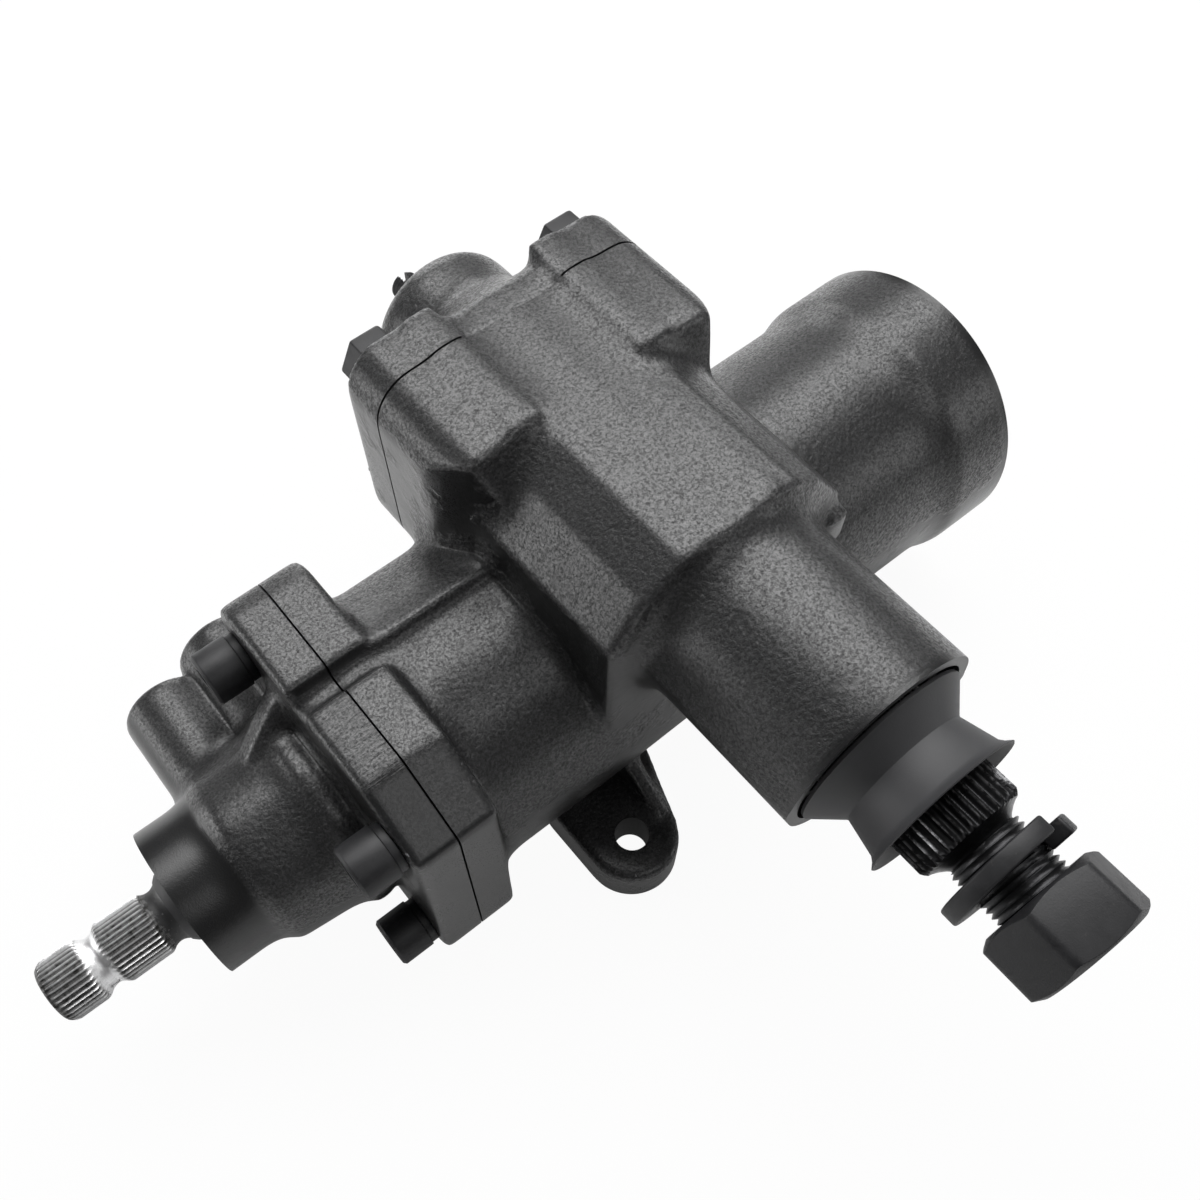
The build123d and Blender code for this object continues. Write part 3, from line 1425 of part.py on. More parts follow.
# Round seal cords of the end cap, of the valve housing and of the side cover
cord_room = seat_gap / 2
with BuildPart() as end_cap_seal:
    with BuildSketch(main_section):
        with Locations((bore_seal_x, end_cap_bore_radius - cord_radius - seat_gap)):
            Circle(cord_radius)
    revolve(axis=main_axis)
end_cap_seal.part.label = "end_cap_seal"
export_step(end_cap_seal.part, "parts/end_cap_seal.step")

with BuildPart() as valve_housing_seal:
    with BuildSketch(main_section):
        with Locations((flange_seam_x - cord_radius - cord_room, valve_cord_circle)):
            Circle(cord_radius)
    revolve(axis=main_axis)
valve_housing_seal.part.label = "valve_housing_seal"
export_step(valve_housing_seal.part, "parts/valve_housing_seal.step")

with BuildPart() as side_cover_seal:
    with BuildSketch(sector_section):
        with Locations((cover_seal_y, chamber_bore_radius - cord_radius - cord_room)):
            Circle(cord_radius)
    revolve(axis=sector_axis)
side_cover_seal.part.label = "side_cover_seal"
export_step(side_cover_seal.part, "parts/side_cover_seal.step")

# Hexagon bolts of the side cover
with BuildPart() as side_cover_bolts:
    with BuildSketch(across_sector(cover_lobe_y)):
        with GridLocations(2 * cover_bolt_x, 2 * cover_bolt_z, 2, 2):
            RegularPolygon(cover_bolt_head_across_flats / 2, 6, major_radius=False)
    extrude(amount=-cover_bolt_head_height)
    chamfer(side_cover_bolts.faces().sort_by(Axis.Y)[-4:].edges(), bolt_head_chamfer)
    with BuildSketch(across_sector(cover_lobe_y)):
        with GridLocations(2 * cover_bolt_x, 2 * cover_bolt_z, 2, 2):
            Circle(cover_bolt_radius)
    extrude(amount=cover_lobe_y - cover_seam_y + cover_bolt_reach - 1)
side_cover_bolts.part.label = "side_cover_bolts"
export_step(side_cover_bolts.part, "parts/side_cover_bolts.step")

# Socket-head bolts of the valve housing and the washers under them
bolt_seat_x = flange_front_x - valve_bolt_washer_thickness
with BuildPart() as valve_housing_bolts:
    with BuildSketch(across_worm(bolt_seat_x)):
        with GridLocations(2 * valve_bolt_y, 2 * valve_bolt_z, 2, 2):
            Circle(valve_bolt_head_radius)
    extrude(amount=-valve_bolt_head_length)
    chamfer(valve_housing_bolts.faces().sort_by(Axis.X)[:4].edges(), bolt_head_chamfer)
    with BuildSketch(across_worm(bolt_seat_x)):
        with GridLocations(2 * valve_bolt_y, 2 * valve_bolt_z, 2, 2):
            Circle(valve_bolt_radius)
    extrude(amount=valve_bolt_reach)
    with BuildSketch(across_worm(bolt_seat_x - valve_bolt_head_length)):
        with GridLocations(2 * valve_bolt_y, 2 * valve_bolt_z, 2, 2):
            RegularPolygon(valve_bolt_socket / 2, 6, major_radius=False)
    extrude(amount=valve_bolt_socket_depth, mode=Mode.SUBTRACT)
valve_housing_bolts.part.label = "valve_housing_bolts"
export_step(valve_housing_bolts.part, "parts/valve_housing_bolts.step")

with BuildPart() as valve_bolt_washers:
    with BuildSketch(across_worm(bolt_seat_x)):
        with GridLocations(2 * valve_bolt_y, 2 * valve_bolt_z, 2, 2):
            Circle(valve_bolt_washer_radius)
            Circle(valve_bolt_radius + thread_gap, mode=Mode.SUBTRACT)
    extrude(amount=valve_bolt_washer_thickness)
valve_bolt_washers.part.label = "valve_bolt_washers"
export_step(valve_bolt_washers.part, "parts/valve_bolt_washers.step")

# Cone seats pressed into the two hose ports
with BuildPart() as port_seats:
    for port_x, port_end_y in ((port_one_x, port_one_end_y), (port_two_x, port_two_end_y)):
        with BuildSketch(Plane.XZ.offset(port_thread_depth + port_pocket_depth - port_end_y)):
            with Locations((port_x, worm_z)):
                Circle(port_seat_radius)
        extrude(amount=-port_seat_height, taper=port_seat_taper)
        with BuildSketch(Plane.XZ.offset(port_thread_depth + port_pocket_depth - port_end_y)):
            with Locations((port_x, worm_z)):
                Circle(port_seat_bore_radius)
        extrude(amount=-port_seat_height, mode=Mode.SUBTRACT)
port_seats.part.label = "port_seats"
export_step(port_seats.part, "parts/port_seats.step")
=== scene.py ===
"""Looks of a power steering gearbox: sand-cast painted housings, oxide fasteners and ground shafts."""

import json
from math import atan2, cos, pi, radians, sin, tau

import bmesh
import bpy
import numpy as np
from mathutils import Matrix, Vector


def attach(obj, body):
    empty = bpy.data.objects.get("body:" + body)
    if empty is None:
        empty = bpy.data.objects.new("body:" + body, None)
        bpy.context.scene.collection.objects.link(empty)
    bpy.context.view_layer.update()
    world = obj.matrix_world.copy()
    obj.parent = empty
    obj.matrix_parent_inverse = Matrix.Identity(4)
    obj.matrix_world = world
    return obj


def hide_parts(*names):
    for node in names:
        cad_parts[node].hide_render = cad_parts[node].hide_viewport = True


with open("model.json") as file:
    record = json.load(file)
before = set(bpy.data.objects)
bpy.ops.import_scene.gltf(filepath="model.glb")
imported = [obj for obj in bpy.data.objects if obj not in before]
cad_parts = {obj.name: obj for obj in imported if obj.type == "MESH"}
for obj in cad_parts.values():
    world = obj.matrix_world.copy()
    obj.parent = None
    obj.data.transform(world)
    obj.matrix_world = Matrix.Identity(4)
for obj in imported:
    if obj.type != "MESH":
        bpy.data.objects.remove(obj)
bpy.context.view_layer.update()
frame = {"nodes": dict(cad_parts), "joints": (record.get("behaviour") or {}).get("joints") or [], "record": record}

bl_info = {
    "name": "Steering Gearbox",
    "version": (1, 0, 0),
    "blender": (4, 5, 0),
    "location": "View3D > Sidebar > Gearbox",
    "description": "Dresses a steering gearbox in cast, oxide, ground and rubber finishes",
    "category": "Object",
}

MM = 0.001
JOINT_PLACES = {joint["name"]: joint.get("pos_m") for joint in frame["joints"]}
WORM_Z = JOINT_PLACES["worm_turn"][2]
SECTOR_Z = JOINT_PLACES["sector_swing"][2]
BODY_OF = {node: body for body, nodes in frame["record"]["behaviour"]["bodies"].items() for node in nodes}
SLOT_OF = {part["node"]: part["material_slot"] for part in frame["record"]["subparts"]}

# Places and sizes from here on are in millimetres, like those in the operators.
WORM_UP = WORM_Z / MM  # height of the worm's axis
SECTOR_UP = SECTOR_Z / MM  # height of the sector shaft's axis
SEAM_X = -98.0  # seam of the gear housing and the valve housing
END_X = 130.0  # open end of the big cylinder
COVER_Y = 49.0  # seam of the gear housing and the side cover
TUBE_Y = -102.0  # end of the sector shaft's tube
NECK_X = -168.5  # end of the valve housing's neck
SPARE = 4  # how far a casting is made past each of these before it is cut flat
SEAM_GAP = 0.3  # half of the dark line between the flanges
GROOVE = 0.36  # half of the dark line round the side cover
LOBE_Z = 62  # lowest place of the cover's lobes and of the tube's end
COVER_SEAT = 34.6  # radius of the side cover's round seat
PORT_Z = 54.5  # height of the hose ports
PORTS = (  # each hose port's x, the y of its thread's floor and mouth, and where its drill starts
    (-139.5, 45, 61.5, 70),
    (-114, 53, 69.5, 80),
)


class ShaftAxis:
    """Level line of a shaft over the middle of the gearbox: turn 0 points up."""

    def __init__(self, lengthwise, height):
        self.lengthwise = lengthwise
        self.across = 1 - lengthwise
        self.height = height
        self.origin = Vector((0, 0, height))
        self.along = Vector((self.across, lengthwise, 0))

    def point(self, place, radius, angle=0.0):
        """Point at a place along the axis and at a radius from it, both in millimetres."""
        spot = [0.0, 0.0, self.height + radius * MM * cos(angle)]
        spot[self.lengthwise] = place * MM
        spot[self.across] = radius * MM * sin(angle)
        return Vector(spot)

    def parts(self, spot):
        """How far along the axis a spot is, and its arm out from the axis, both in metres."""
        local = spot - self.origin
        along = local.dot(self.along)
        return along, local - self.along * along

    def turn(self, arm):
        """Turn of an arm round the axis."""
        return atan2(arm[self.across], arm.z)


WORM_AXIS = ShaftAxis(0, WORM_Z)
SECTOR_AXIS = ShaftAxis(1, SECTOR_Z)


class CastingSettings(bpy.types.PropertyGroup):
    """Sizes and colours of the sand castings."""

    voxel: bpy.props.FloatProperty(
        name="Grain of the mesh", description="Size of the casting's surface mesh",
        default=1.18 * MM, min=0.5 * MM, max=4 * MM, unit="LENGTH", precision=5,
    )
    edge_rounds: bpy.props.IntProperty(
        name="Edge rounding", description="Smoothing steps over every edge", default=5, min=0, max=60,
    )
    fillet_rounds: bpy.props.IntProperty(
        name="Fillet filling", description="Smoothing steps that only fill hollow corners",
        default=34, min=0, max=200,
    )
    colour: bpy.props.FloatVectorProperty(
        name="Paint", description="Colour of the black paint", subtype="COLOR", size=3,
        default=(0.0115, 0.0115, 0.012), min=0, max=1,
    )


class StageSettings(bpy.types.PropertyGroup):
    """Light and floor around the gearbox."""

    floor_size: bpy.props.FloatProperty(
        name="Floor", description="Side of the square floor", default=6.0, unit="LENGTH",
    )
    key_power: bpy.props.FloatProperty(
        name="Key lamp", description="Power of the large lamp above", default=15.9, unit="POWER",
    )
    world_strength: bpy.props.FloatProperty(
        name="World", description="Strength of the even light from all sides", default=0.04,
    )


class Socket:
    """One output of a node. Arithmetic on it adds Math nodes."""

    def __init__(self, owner, output):
        self.owner = owner
        self.output = output

    def maths(self, operation, first, second=None):
        values = {0: first} if second is None else {0: first, 1: second}
        return self.owner.node("ShaderNodeMath", {"operation": operation}, values)

    def __add__(self, other):
        return self.maths("ADD", self, other)

    __radd__ = __add__

    def __sub__(self, other):
        return self.maths("SUBTRACT", self, other)

    def __rsub__(self, other):
        return self.maths("SUBTRACT", other, self)

    def __mul__(self, other):
        return self.maths("MULTIPLY", self, other)

    __rmul__ = __mul__

    def unsigned(self):
        """The value without its sign."""
        return self.maths("ABSOLUTE", self)

    def limited(self):
        """The same value held between 0 and 1."""
        return self.owner.node("ShaderNodeClamp", {}, {"Value": self}, "Result")

    def ramp(self, low, high):
        """0 at low, 1 at high, with a smooth step between."""
        values = {"Value": self, "From Min": low, "From Max": high}
        return self.owner.node("ShaderNodeMapRange", {"interpolation_type": "SMOOTHSTEP"}, values, "Result")


class NodeTree:
    """The nodes and links of a finish or of the world."""

    def __init__(self, tree):
        self.nodes = tree.nodes
        self.links = tree.links

    def join(self, socket, value):
        """Gives an input a plain value, or a link from another node."""
        if isinstance(value, Socket):
            self.links.new(value.output, socket)
        else:
            socket.default_value = value

    def node(self, kind, settings=None, values=None, output=0):
        """Adds a node: its settings first, then the values or links of its sockets."""
        node = self.nodes.new(kind)
        for key, value in (settings or {}).items():
            setattr(node, key, value)
        for key, value in (values or {}).items():
            self.join(node.inputs[key], value)
        return Socket(self, node.outputs[output])

    def ray_kinds(self):
        """1 where the camera looks straight, where a shine is followed, and where glass is looked through."""
        outputs = self.node("ShaderNodeLightPath").output.node.outputs
        kinds = ("Is Camera Ray", "Is Glossy Ray", "Is Transmission Ray")
        return [Socket(self, outputs[kind]) for kind in kinds]


class Finish(NodeTree):
    """One material around a Principled shader."""

    def __init__(self, name, roughness=0.5, metallic=0.0, coat_roughness=0.2, ior=1.5):
        self.material = bpy.data.materials.new(name)
        self.material.use_nodes = True
        super().__init__(self.material.node_tree)
        self.shader = self.nodes["Principled BSDF"]
        self.feed("Roughness", roughness)
        self.feed("Metallic", metallic)
        self.feed("IOR", ior)
        self.feed("Coat Roughness", coat_roughness)

    def feed(self, name, value):
        """Gives an input of the shader a value or a link."""
        self.join(self.shader.inputs[name], value)

    def place(self):
        """Object coordinates in millimetres."""
        coordinates = self.node("ShaderNodeTexCoord", output="Object")
        return self.node("ShaderNodeVectorMath", {"operation": "SCALE"}, {0: coordinates, "Scale": 1 / MM})

    def noise(self, place, size, detail=2.0, rough=0.5, warp=0.0):
        """Noise whose features are about size millimetres across, from 0 to 1."""
        values = {"Vector": place, "Scale": 1 / size, "Detail": detail, "Roughness": rough}
        return self.node("ShaderNodeTexNoise", {}, {**values, "Distortion": warp}, "Fac")

    def cells(self, place, size, softness):
        """Rounded cells about size millimetres across: 0 at their middles."""
        values = {"Vector": place, "Scale": 1 / size, "Smoothness": softness}
        return self.node("ShaderNodeTexVoronoi", {"feature": "SMOOTH_F1"}, values, "Distance")

    def stretched(self, place, scale):
        """The place with each of its directions scaled, for drawn-out patterns."""
        return self.node("ShaderNodeMapping", {}, {"Vector": place, "Scale": scale})

    def blend(self, factor, first, second):
        """Colour between first and second: sockets 6 and 7 and output 2 of a Mix node are its colour ones."""
        pair = [(*colour, 1) if isinstance(colour, tuple) else colour for colour in (first, second)]
        values = {"Factor": factor, 6: pair[0], 7: pair[1]}
        return self.node("ShaderNodeMix", {"data_type": "RGBA"}, values, 2)

    def attribute(self, name):
        """A value from 0 to 1 that the casting's own mesh carries."""
        return self.node("ShaderNodeAttribute", {"attribute_name": name}, {}, "Fac")

    def bump(self, height, depth):
        """Surface relief: height from 0 to 1 times depth in millimetres."""
        values = {"Height": height, "Distance": depth * MM, "Strength": 1.0}
        self.feed("Normal", self.node("ShaderNodeBump", {}, values))

    def radius_from(self, place, axis):
        """Distance from a shaft's axis, in millimetres."""
        crosswise = (axis.lengthwise, axis.across, 1)
        origin = tuple(axis.origin / MM)
        local = self.node("ShaderNodeVectorMath", {"operation": "SUBTRACT"}, {0: place, 1: origin})
        flat = self.node("ShaderNodeVectorMath", {"operation": "MULTIPLY"}, {0: local, 1: crosswise})
        return self.node("ShaderNodeVectorMath", {"operation": "LENGTH"}, {0: flat}, "Value")


def shade(colour, share):
    """A colour made darker or lighter by one share."""
    return tuple(channel * share for channel in colour)


def cast_paint(colour):
    """Black semi-gloss paint over the pebbled skin of a sand casting, with painted shade in its hollows and in the
    pits of its grain.
    """
    finish = Finish("cast_paint", coat_roughness=0.3, ior=1.42)
    finish.feed("Coat IOR", 1.62)
    place = finish.place()
    hollow, edge, pebbled, tilted = map(finish.attribute, ("hollow", "edge", "pebbled", "tilted"))
    machined, ground = map(finish.attribute, ("machined", "ground"))
    drift = finish.noise(place, 30, 3)
    patches = finish.noise(place, 11, 3, 0.6)
    flecks = finish.noise(place, 1.4, 3, 0.6)
    sand = finish.noise(place, 0.45, 1, 0.5)
    peel = finish.noise(place, 0.85, 3, 0.6, 0.5)
    pebbles = 1 - finish.cells(place, 1.7, 0.5)
    lumps = finish.noise(place, 6, 2)
    scores = finish.noise(finish.stretched(place, (0.08, 1.3, 1.3)), 1.0, 2, 0.6)
    filled = patches.ramp(0.60, 0.72)
    sanded = (pebbled + (patches - 0.5) * 1.3).ramp(0.32, 0.55)
    skin_share = (sanded * (1 - filled * 0.5) * (1 - hollow * 0.7)).limited() * (1 - machined)
    grains = (peel * 0.6 + pebbles * 0.42) * (0.7 + tilted * 0.6)
    relief = grains * (0.05 + skin_share * 0.95) + sand * 0.07 + lumps * 0.3 * (1 - machined)
    finish.bump(relief + scores * ground * 1.5, 0.75)
    on_skin = 0.18 + peel.ramp(0.30, 0.66) * 0.55 + (sand - 0.5) * 0.9
    glint = on_skin * skin_share + (1 - skin_share) * 0.32
    finish.feed("Coat Weight", (glint * (1 - hollow * 0.8)).limited())
    # Lighter on the raised grain and darker in its pits on the pebbled skin: painted shade; a slow random drift of
    # tone comes on top.
    drift_and_pit_shade = (peel.ramp(0.45, 0.66) * 0.75 * skin_share + drift * 0.3).limited()
    body = finish.blend(drift_and_pit_shade, shade(colour, 0.6), shade(colour, 2.0))
    # Colour falls to a fifth of the paint's in hollow corners and fillets: painted shade.
    hollow_shaded = finish.blend((hollow * 0.9).limited(), body, shade(colour, 0.2))
    chips = edge.ramp(0.45, 0.8) * flecks.ramp(0.66, 0.70)
    bare_iron = (0.30, 0.30, 0.31)
    finish.feed("Base Color", finish.blend(chips * 0.8, hollow_shaded, bare_iron))
    pits = (1 - peel.ramp(0.36, 0.62)) * skin_share
    rough = 0.25 + drift * 0.10 + pits * 0.30 + (sand - 0.5) * 0.1 + hollow * 0.3
    finish.feed("Roughness", rough.limited())
    return finish.material


def machined_paint(colour):
    """The same paint on a face that was cut flat: fine tool lines instead of pebbles."""
    finish = Finish("machined_paint", ior=1.62)
    place = finish.place()
    grain = finish.noise(place, 0.6, 2)
    drift = finish.noise(place, 14, 3)
    finish.bump(grain, 0.03)
    finish.feed("Base Color", finish.blend(drift, shade(colour, 0.8), shade(colour, 1.5)))
    finish.feed("Roughness", 0.36 + grain * 0.12)
    return finish.material


def black_oxide():
    """Oxide-blackened steel with a thin film of oil and scuffs."""
    finish = Finish("black_oxide", metallic=0.12, ior=1.5)
    place = finish.place()
    smear = finish.noise(place, 5, 4, 0.6, 0.8)
    specks = finish.noise(place, 0.5, 2)
    scuff = finish.noise(place, 2.2, 5, 0.7, 1.5).ramp(0.6, 0.72)
    tone = finish.blend(smear, (0.006, 0.006, 0.007), (0.026, 0.026, 0.028))
    finish.feed("Base Color", finish.blend(scuff * 0.35, tone, (0.075, 0.072, 0.068)))
    finish.feed("Roughness", (0.38 + smear * 0.22 + scuff * 0.1 + (specks - 0.5) * 0.1).limited())
    finish.bump(specks * 0.6 + smear * 0.8, 0.05)
    return finish.material


def ground_steel():
    """Bare steel shaft: bright crests, darker serration grooves with random patches of grime, rings of tool marks,
    paint by the housing.
    """
    finish = Finish("ground_steel", metallic=0.9)
    place = finish.place()
    waist_x, paint_x = -196.6, -176.6
    radius = finish.radius_from(place, WORM_AXIS)
    along = finish.node("ShaderNodeSeparateXYZ", {}, {"Vector": place}, "X")
    patches = finish.noise(place, 3.0, 4, 0.65)
    flecks = finish.noise(place, 1.1, 3, 0.6)
    fine = finish.noise(place, 0.3, 2)
    rings = finish.noise(finish.stretched(place, (5, 0.25, 0.25)), 1.0, 3)
    crest = radius.ramp(9.45, 10.2)
    waist = 1 - (along - waist_x).unsigned().ramp(2.2, 4.2)
    crest_or_waist = (crest + waist).limited()
    # Darker below the serration crests and away from the waist; random patches of grime and tool rings add to it.
    groove_dark_and_grime = ((1 - crest_or_waist) * 0.85 + patches.ramp(0.5, 0.78) * 0.45 + (rings - 0.5) * 0.5).limited()
    steel = finish.blend(groove_dark_and_grime, (0.86, 0.86, 0.865), (0.055, 0.054, 0.052))
    beyond = (along - paint_x + (flecks - 0.5) * 5).ramp(-0.4, 0.4)
    painted = (beyond * (1 - flecks.ramp(0.66, 0.69))).limited()
    finish.feed("Base Color", finish.blend(painted, steel, (0.03, 0.03, 0.031)))
    finish.feed("Metallic", 0.95 - painted * 0.95)
    finish.feed("Roughness", (0.34 + patches * 0.14 + (1 - crest_or_waist) * 0.2 - painted * 0.1).limited())
    finish.bump(fine * 0.35 + rings * waist * 0.5 + flecks * painted * 0.5, 0.09)
    return finish.material


def oiled_steel():
    """Dark oiled steel of the sector shaft, with painted highlights on its crests."""
    finish = Finish("oiled_steel", metallic=0.85)
    place = finish.place()
    radius = finish.radius_from(place, SECTOR_AXIS)
    patches = finish.noise(place, 2.6, 4, 0.7, 0.6)
    fine = finish.noise(place, 0.4, 2)
    # Crests in patches are painted a much lighter colour: a painted highlight.
    crest = radius.ramp(15.1, 15.75) * patches.ramp(0.4, 0.62)
    tone = finish.blend(patches, (0.012, 0.012, 0.013), (0.05, 0.05, 0.052))
    finish.feed("Base Color", finish.blend(crest * 0.8, tone, (0.36, 0.36, 0.37)))
    finish.feed("Roughness", (0.2 + patches * 0.22).limited())
    finish.bump(fine * 0.5 + patches * 0.9, 0.08)
    return finish.material


def seal_rubber():
    """Smooth dark rubber with a faint bloom."""
    finish = Finish("seal_rubber", ior=1.6)
    place = finish.place()
    bloom = finish.noise(place, 9, 4, 0.6)
    fine = finish.noise(place, 0.5, 2)
    finish.feed("Base Color", finish.blend(bloom, (0.022, 0.022, 0.024), (0.042, 0.042, 0.045)))
    finish.feed("Roughness", 0.5 + bloom * 0.12 + (fine - 0.5) * 0.05)
    finish.bump(fine, 0.02)
    return finish.material


def plain_finish(name, colours, roughness, metallic):
    """A hidden piece's finish: two close tones and fine tool marks."""
    finish = Finish(name, metallic=metallic)
    place = finish.place()
    drift = finish.noise(place, 7, 3)
    fine = finish.noise(place, 0.5, 2)
    finish.feed("Base Color", finish.blend(drift, *colours))
    finish.feed("Roughness", roughness + (drift - 0.5) * 0.12)
    finish.bump(fine, 0.02)
    return finish.material


def merged(mesh):
    """Copy of a mesh with its loose triangles joined."""
    bm = bmesh.new()
    bm.from_mesh(mesh)
    bmesh.ops.remove_doubles(bm, verts=bm.verts, dist=0.002 * MM)
    return bm


def to_object(name, bm, materials, sharp=35.0):
    """Object at the origin from a bmesh, shaded smooth below an angle in degrees."""
    mesh = bpy.data.meshes.new(name)
    bm.to_mesh(mesh)
    bm.free()
    piece = bpy.data.objects.new(name, mesh)
    bpy.context.scene.collection.objects.link(piece)
    for material in materials:
        mesh.materials.append(material)
    mesh.shade_smooth()
    mesh.set_sharp_from_angle(angle=radians(sharp))
    return piece


def stand_for(piece, *nodes):
    """The piece rides with, and stands for, these nodes of one body."""
    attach(piece, BODY_OF[nodes[0]])
    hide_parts(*nodes)
    return piece


def apply_modifiers(piece):
    """Makes what the modifiers show the piece's own mesh."""
    graph = bpy.context.evaluated_depsgraph_get()
    shown = bpy.data.meshes.new_from_object(piece.evaluated_get(graph))
    piece.modifiers.clear()
    piece.data = shown


def break_corners(bm, width, angle, segments=3):
    """Bevels every edge that turns by more than an angle in degrees."""
    inner = [edge for edge in bm.edges if len(edge.link_faces) == 2]
    edges = [edge for edge in inner if edge.calc_face_angle() > radians(angle)]
    bmesh.ops.bevel(
        bm, geom=edges, offset=width * MM, segments=segments, profile=0.5, affect="EDGES", material=-1,
        clamp_overlap=True,
    )


def shear(bm, axis, place, side):
    """Cuts a solid square to an axis, clears one side of the cut and closes it."""
    sheared = bmesh.ops.bisect_plane(
        bm, geom=bm.verts[:] + bm.edges[:] + bm.faces[:], plane_co=axis.origin + axis.along * place * MM,
        plane_no=axis.along * side, clear_outer=True,
    )["geom_cut"]
    rim = [item for item in sheared if isinstance(item, bmesh.types.BMEdge)]
    bmesh.ops.triangle_fill(bm, edges=rim, use_beauty=True)


def lathe(axis, profile, steps=128):
    """Closed turned solid from (place, radius) pairs in millimetres."""
    bm = bmesh.new()
    verts = [bm.verts.new(axis.point(place, radius)) for place, radius in profile]
    is_ring = profile[0][1] > 0
    ends = verts[1:] + verts[:1] if is_ring else verts[1:]
    edges = [bm.edges.new(pair) for pair in zip(verts, ends)]
    bmesh.ops.spin(
        bm, geom=verts + edges, cent=axis.origin, axis=axis.along, angle=tau, steps=steps, use_merge=True,
    )
    bmesh.ops.remove_doubles(bm, verts=bm.verts, dist=0.001 * MM)
    bmesh.ops.recalc_face_normals(bm, faces=bm.faces)
    return bm


def serrate(bm, axis, start, end, count, root, land):
    """Presses grooves into a turned solid between two places: no point there stays above its groove."""
    for vert in bm.verts:
        along, arm = axis.parts(vert.co)
        if start <= along / MM <= end:
            radius = arm.length / MM
            phase = abs((axis.turn(arm) * count / tau) % 1 - 0.5) * 2
            rise = min(max((phase - land) / (1 - land), 0), 1)
            ceiling = root + (radius - root) * rise if radius > root else radius
            vert.co = axis.origin + axis.along * along + arm * (ceiling / radius)


def thread(axis, start, end, radius, depth, pitch, chamfer):
    """Closed round bar with a V thread between two places, chamfered at its end."""
    way = 1 if end > start else -1
    rise = pitch * way
    first = start - 1.5 * rise
    turns = int(abs(end - start) / pitch) + 4
    steps = 40
    bm = bmesh.new()
    profile = ((0.0, radius - depth), (0.44, radius), (0.56, radius), (1.0, radius - depth))
    verts = [bm.verts.new(axis.point(first + share * rise, reach)) for share, reach in profile]
    edges = [bm.edges.new(pair) for pair in zip(verts, verts[1:])]
    bmesh.ops.spin(
        bm, geom=verts + edges, cent=axis.origin, axis=axis.along, angle=tau * turns, steps=steps * turns,
        dvec=axis.along * rise / steps * MM, use_merge=False,
    )
    bmesh.ops.remove_doubles(bm, verts=bm.verts, dist=0.01 * MM)
    shear(bm, axis, start, -way)
    shear(bm, axis, end, way)
    bmesh.ops.recalc_face_normals(bm, faces=bm.faces)
    for vert in bm.verts:
        along, arm = axis.parts(vert.co)
        from_end = abs(along / MM - end)
        most = radius - chamfer + from_end
        if from_end < chamfer and arm.length / MM > most:
            vert.co = axis.origin + axis.along * along + arm * (most * MM / arm.length)
    return bm


def sheared_node(node, axis, place, keep):
    """Merged copy of a node cut square to an axis; keep is 1 for what lies ahead of the cut, or -1."""
    bm = merged(frame["nodes"][node].data)
    shear(bm, axis, place, -keep)
    return bm


def absorb(bm, *others):
    """Adds the other bmeshes' solids to the first."""
    for other in others:
        spare = bpy.data.meshes.new("spare")
        other.to_mesh(spare)
        other.free()
        bm.from_mesh(spare)
        bpy.data.meshes.remove(spare)
    return bm


def hexagon(axis, start, end, across_flats, turn, corner):
    """Closed hexagonal prism with rounded corners."""
    radius = across_flats / 2 / cos(pi / 6)
    bm = bmesh.new()
    verts = [bm.verts.new(axis.point(start, radius, turn + step * pi / 3)) for step in range(6)]
    top = bmesh.ops.extrude_face_region(bm, geom=[bm.faces.new(verts)])["geom"]
    lifted = [item for item in top if isinstance(item, bmesh.types.BMVert)]
    bmesh.ops.translate(bm, verts=lifted, vec=axis.along * (end - start) * MM)
    bmesh.ops.recalc_face_normals(bm, faces=bm.faces)
    ways = [(edge, (edge.verts[0].co - edge.verts[1].co).normalized()) for edge in bm.edges]
    corners = [edge for edge, way in ways if abs(way.dot(axis.along)) > 0.9]
    bmesh.ops.bevel(
        bm, geom=corners, offset=corner * MM, segments=4, profile=0.5, affect="EDGES", material=-1,
    )
    return bm


def slab(low, high):
    """Closed box between two corners in millimetres."""
    bm = bmesh.new()
    bmesh.ops.create_cube(bm, size=1)
    size = (Vector(high) - Vector(low)) * MM
    middle = (Vector(high) + Vector(low)) / 2 * MM
    bmesh.ops.scale(bm, verts=bm.verts, vec=size)
    bmesh.ops.translate(bm, verts=bm.verts, vec=middle)
    return bm


def drill(start, end, radius, steps=48):
    """Closed round pin between two points in millimetres."""
    bm = bmesh.new()
    way = Vector(end) - Vector(start)
    bmesh.ops.create_cone(
        bm, cap_ends=True, segments=steps, radius1=radius * MM, radius2=radius * MM, depth=way.length * MM,
    )
    turn = Vector((0, 0, 1)).rotation_difference(way).to_matrix().to_4x4()
    middle = (Vector(start) + Vector(end)) / 2 * MM
    bmesh.ops.transform(bm, matrix=Matrix.Translation(middle) @ turn, verts=bm.verts)
    return bm


def cut(piece, cutters, material, operation="DIFFERENCE"):
    """Cuts closed solids out of a piece one by one; the cut faces take the given material."""
    for tool_bm in cutters:
        tool = to_object("cutter", tool_bm, [material])
        modifier = piece.modifiers.new("cut", "BOOLEAN")
        modifier.operation = operation
        modifier.solver = "MANIFOLD"
        modifier.object = tool
        modifier.material_mode = "TRANSFER"
        apply_modifiers(piece)
        bpy.data.objects.remove(tool)


def rows(items, name, width, kind=float):
    """One property of a mesh's vertices or edges, a row for each."""
    values = np.empty(len(items) * width, kind)
    items.foreach_get(name, values)
    return values.reshape(-1, width)


def move_vertices(mesh, places):
    """Puts a mesh's vertices at the given places."""
    mesh.vertices.foreach_set("co", places.ravel())
    mesh.update()


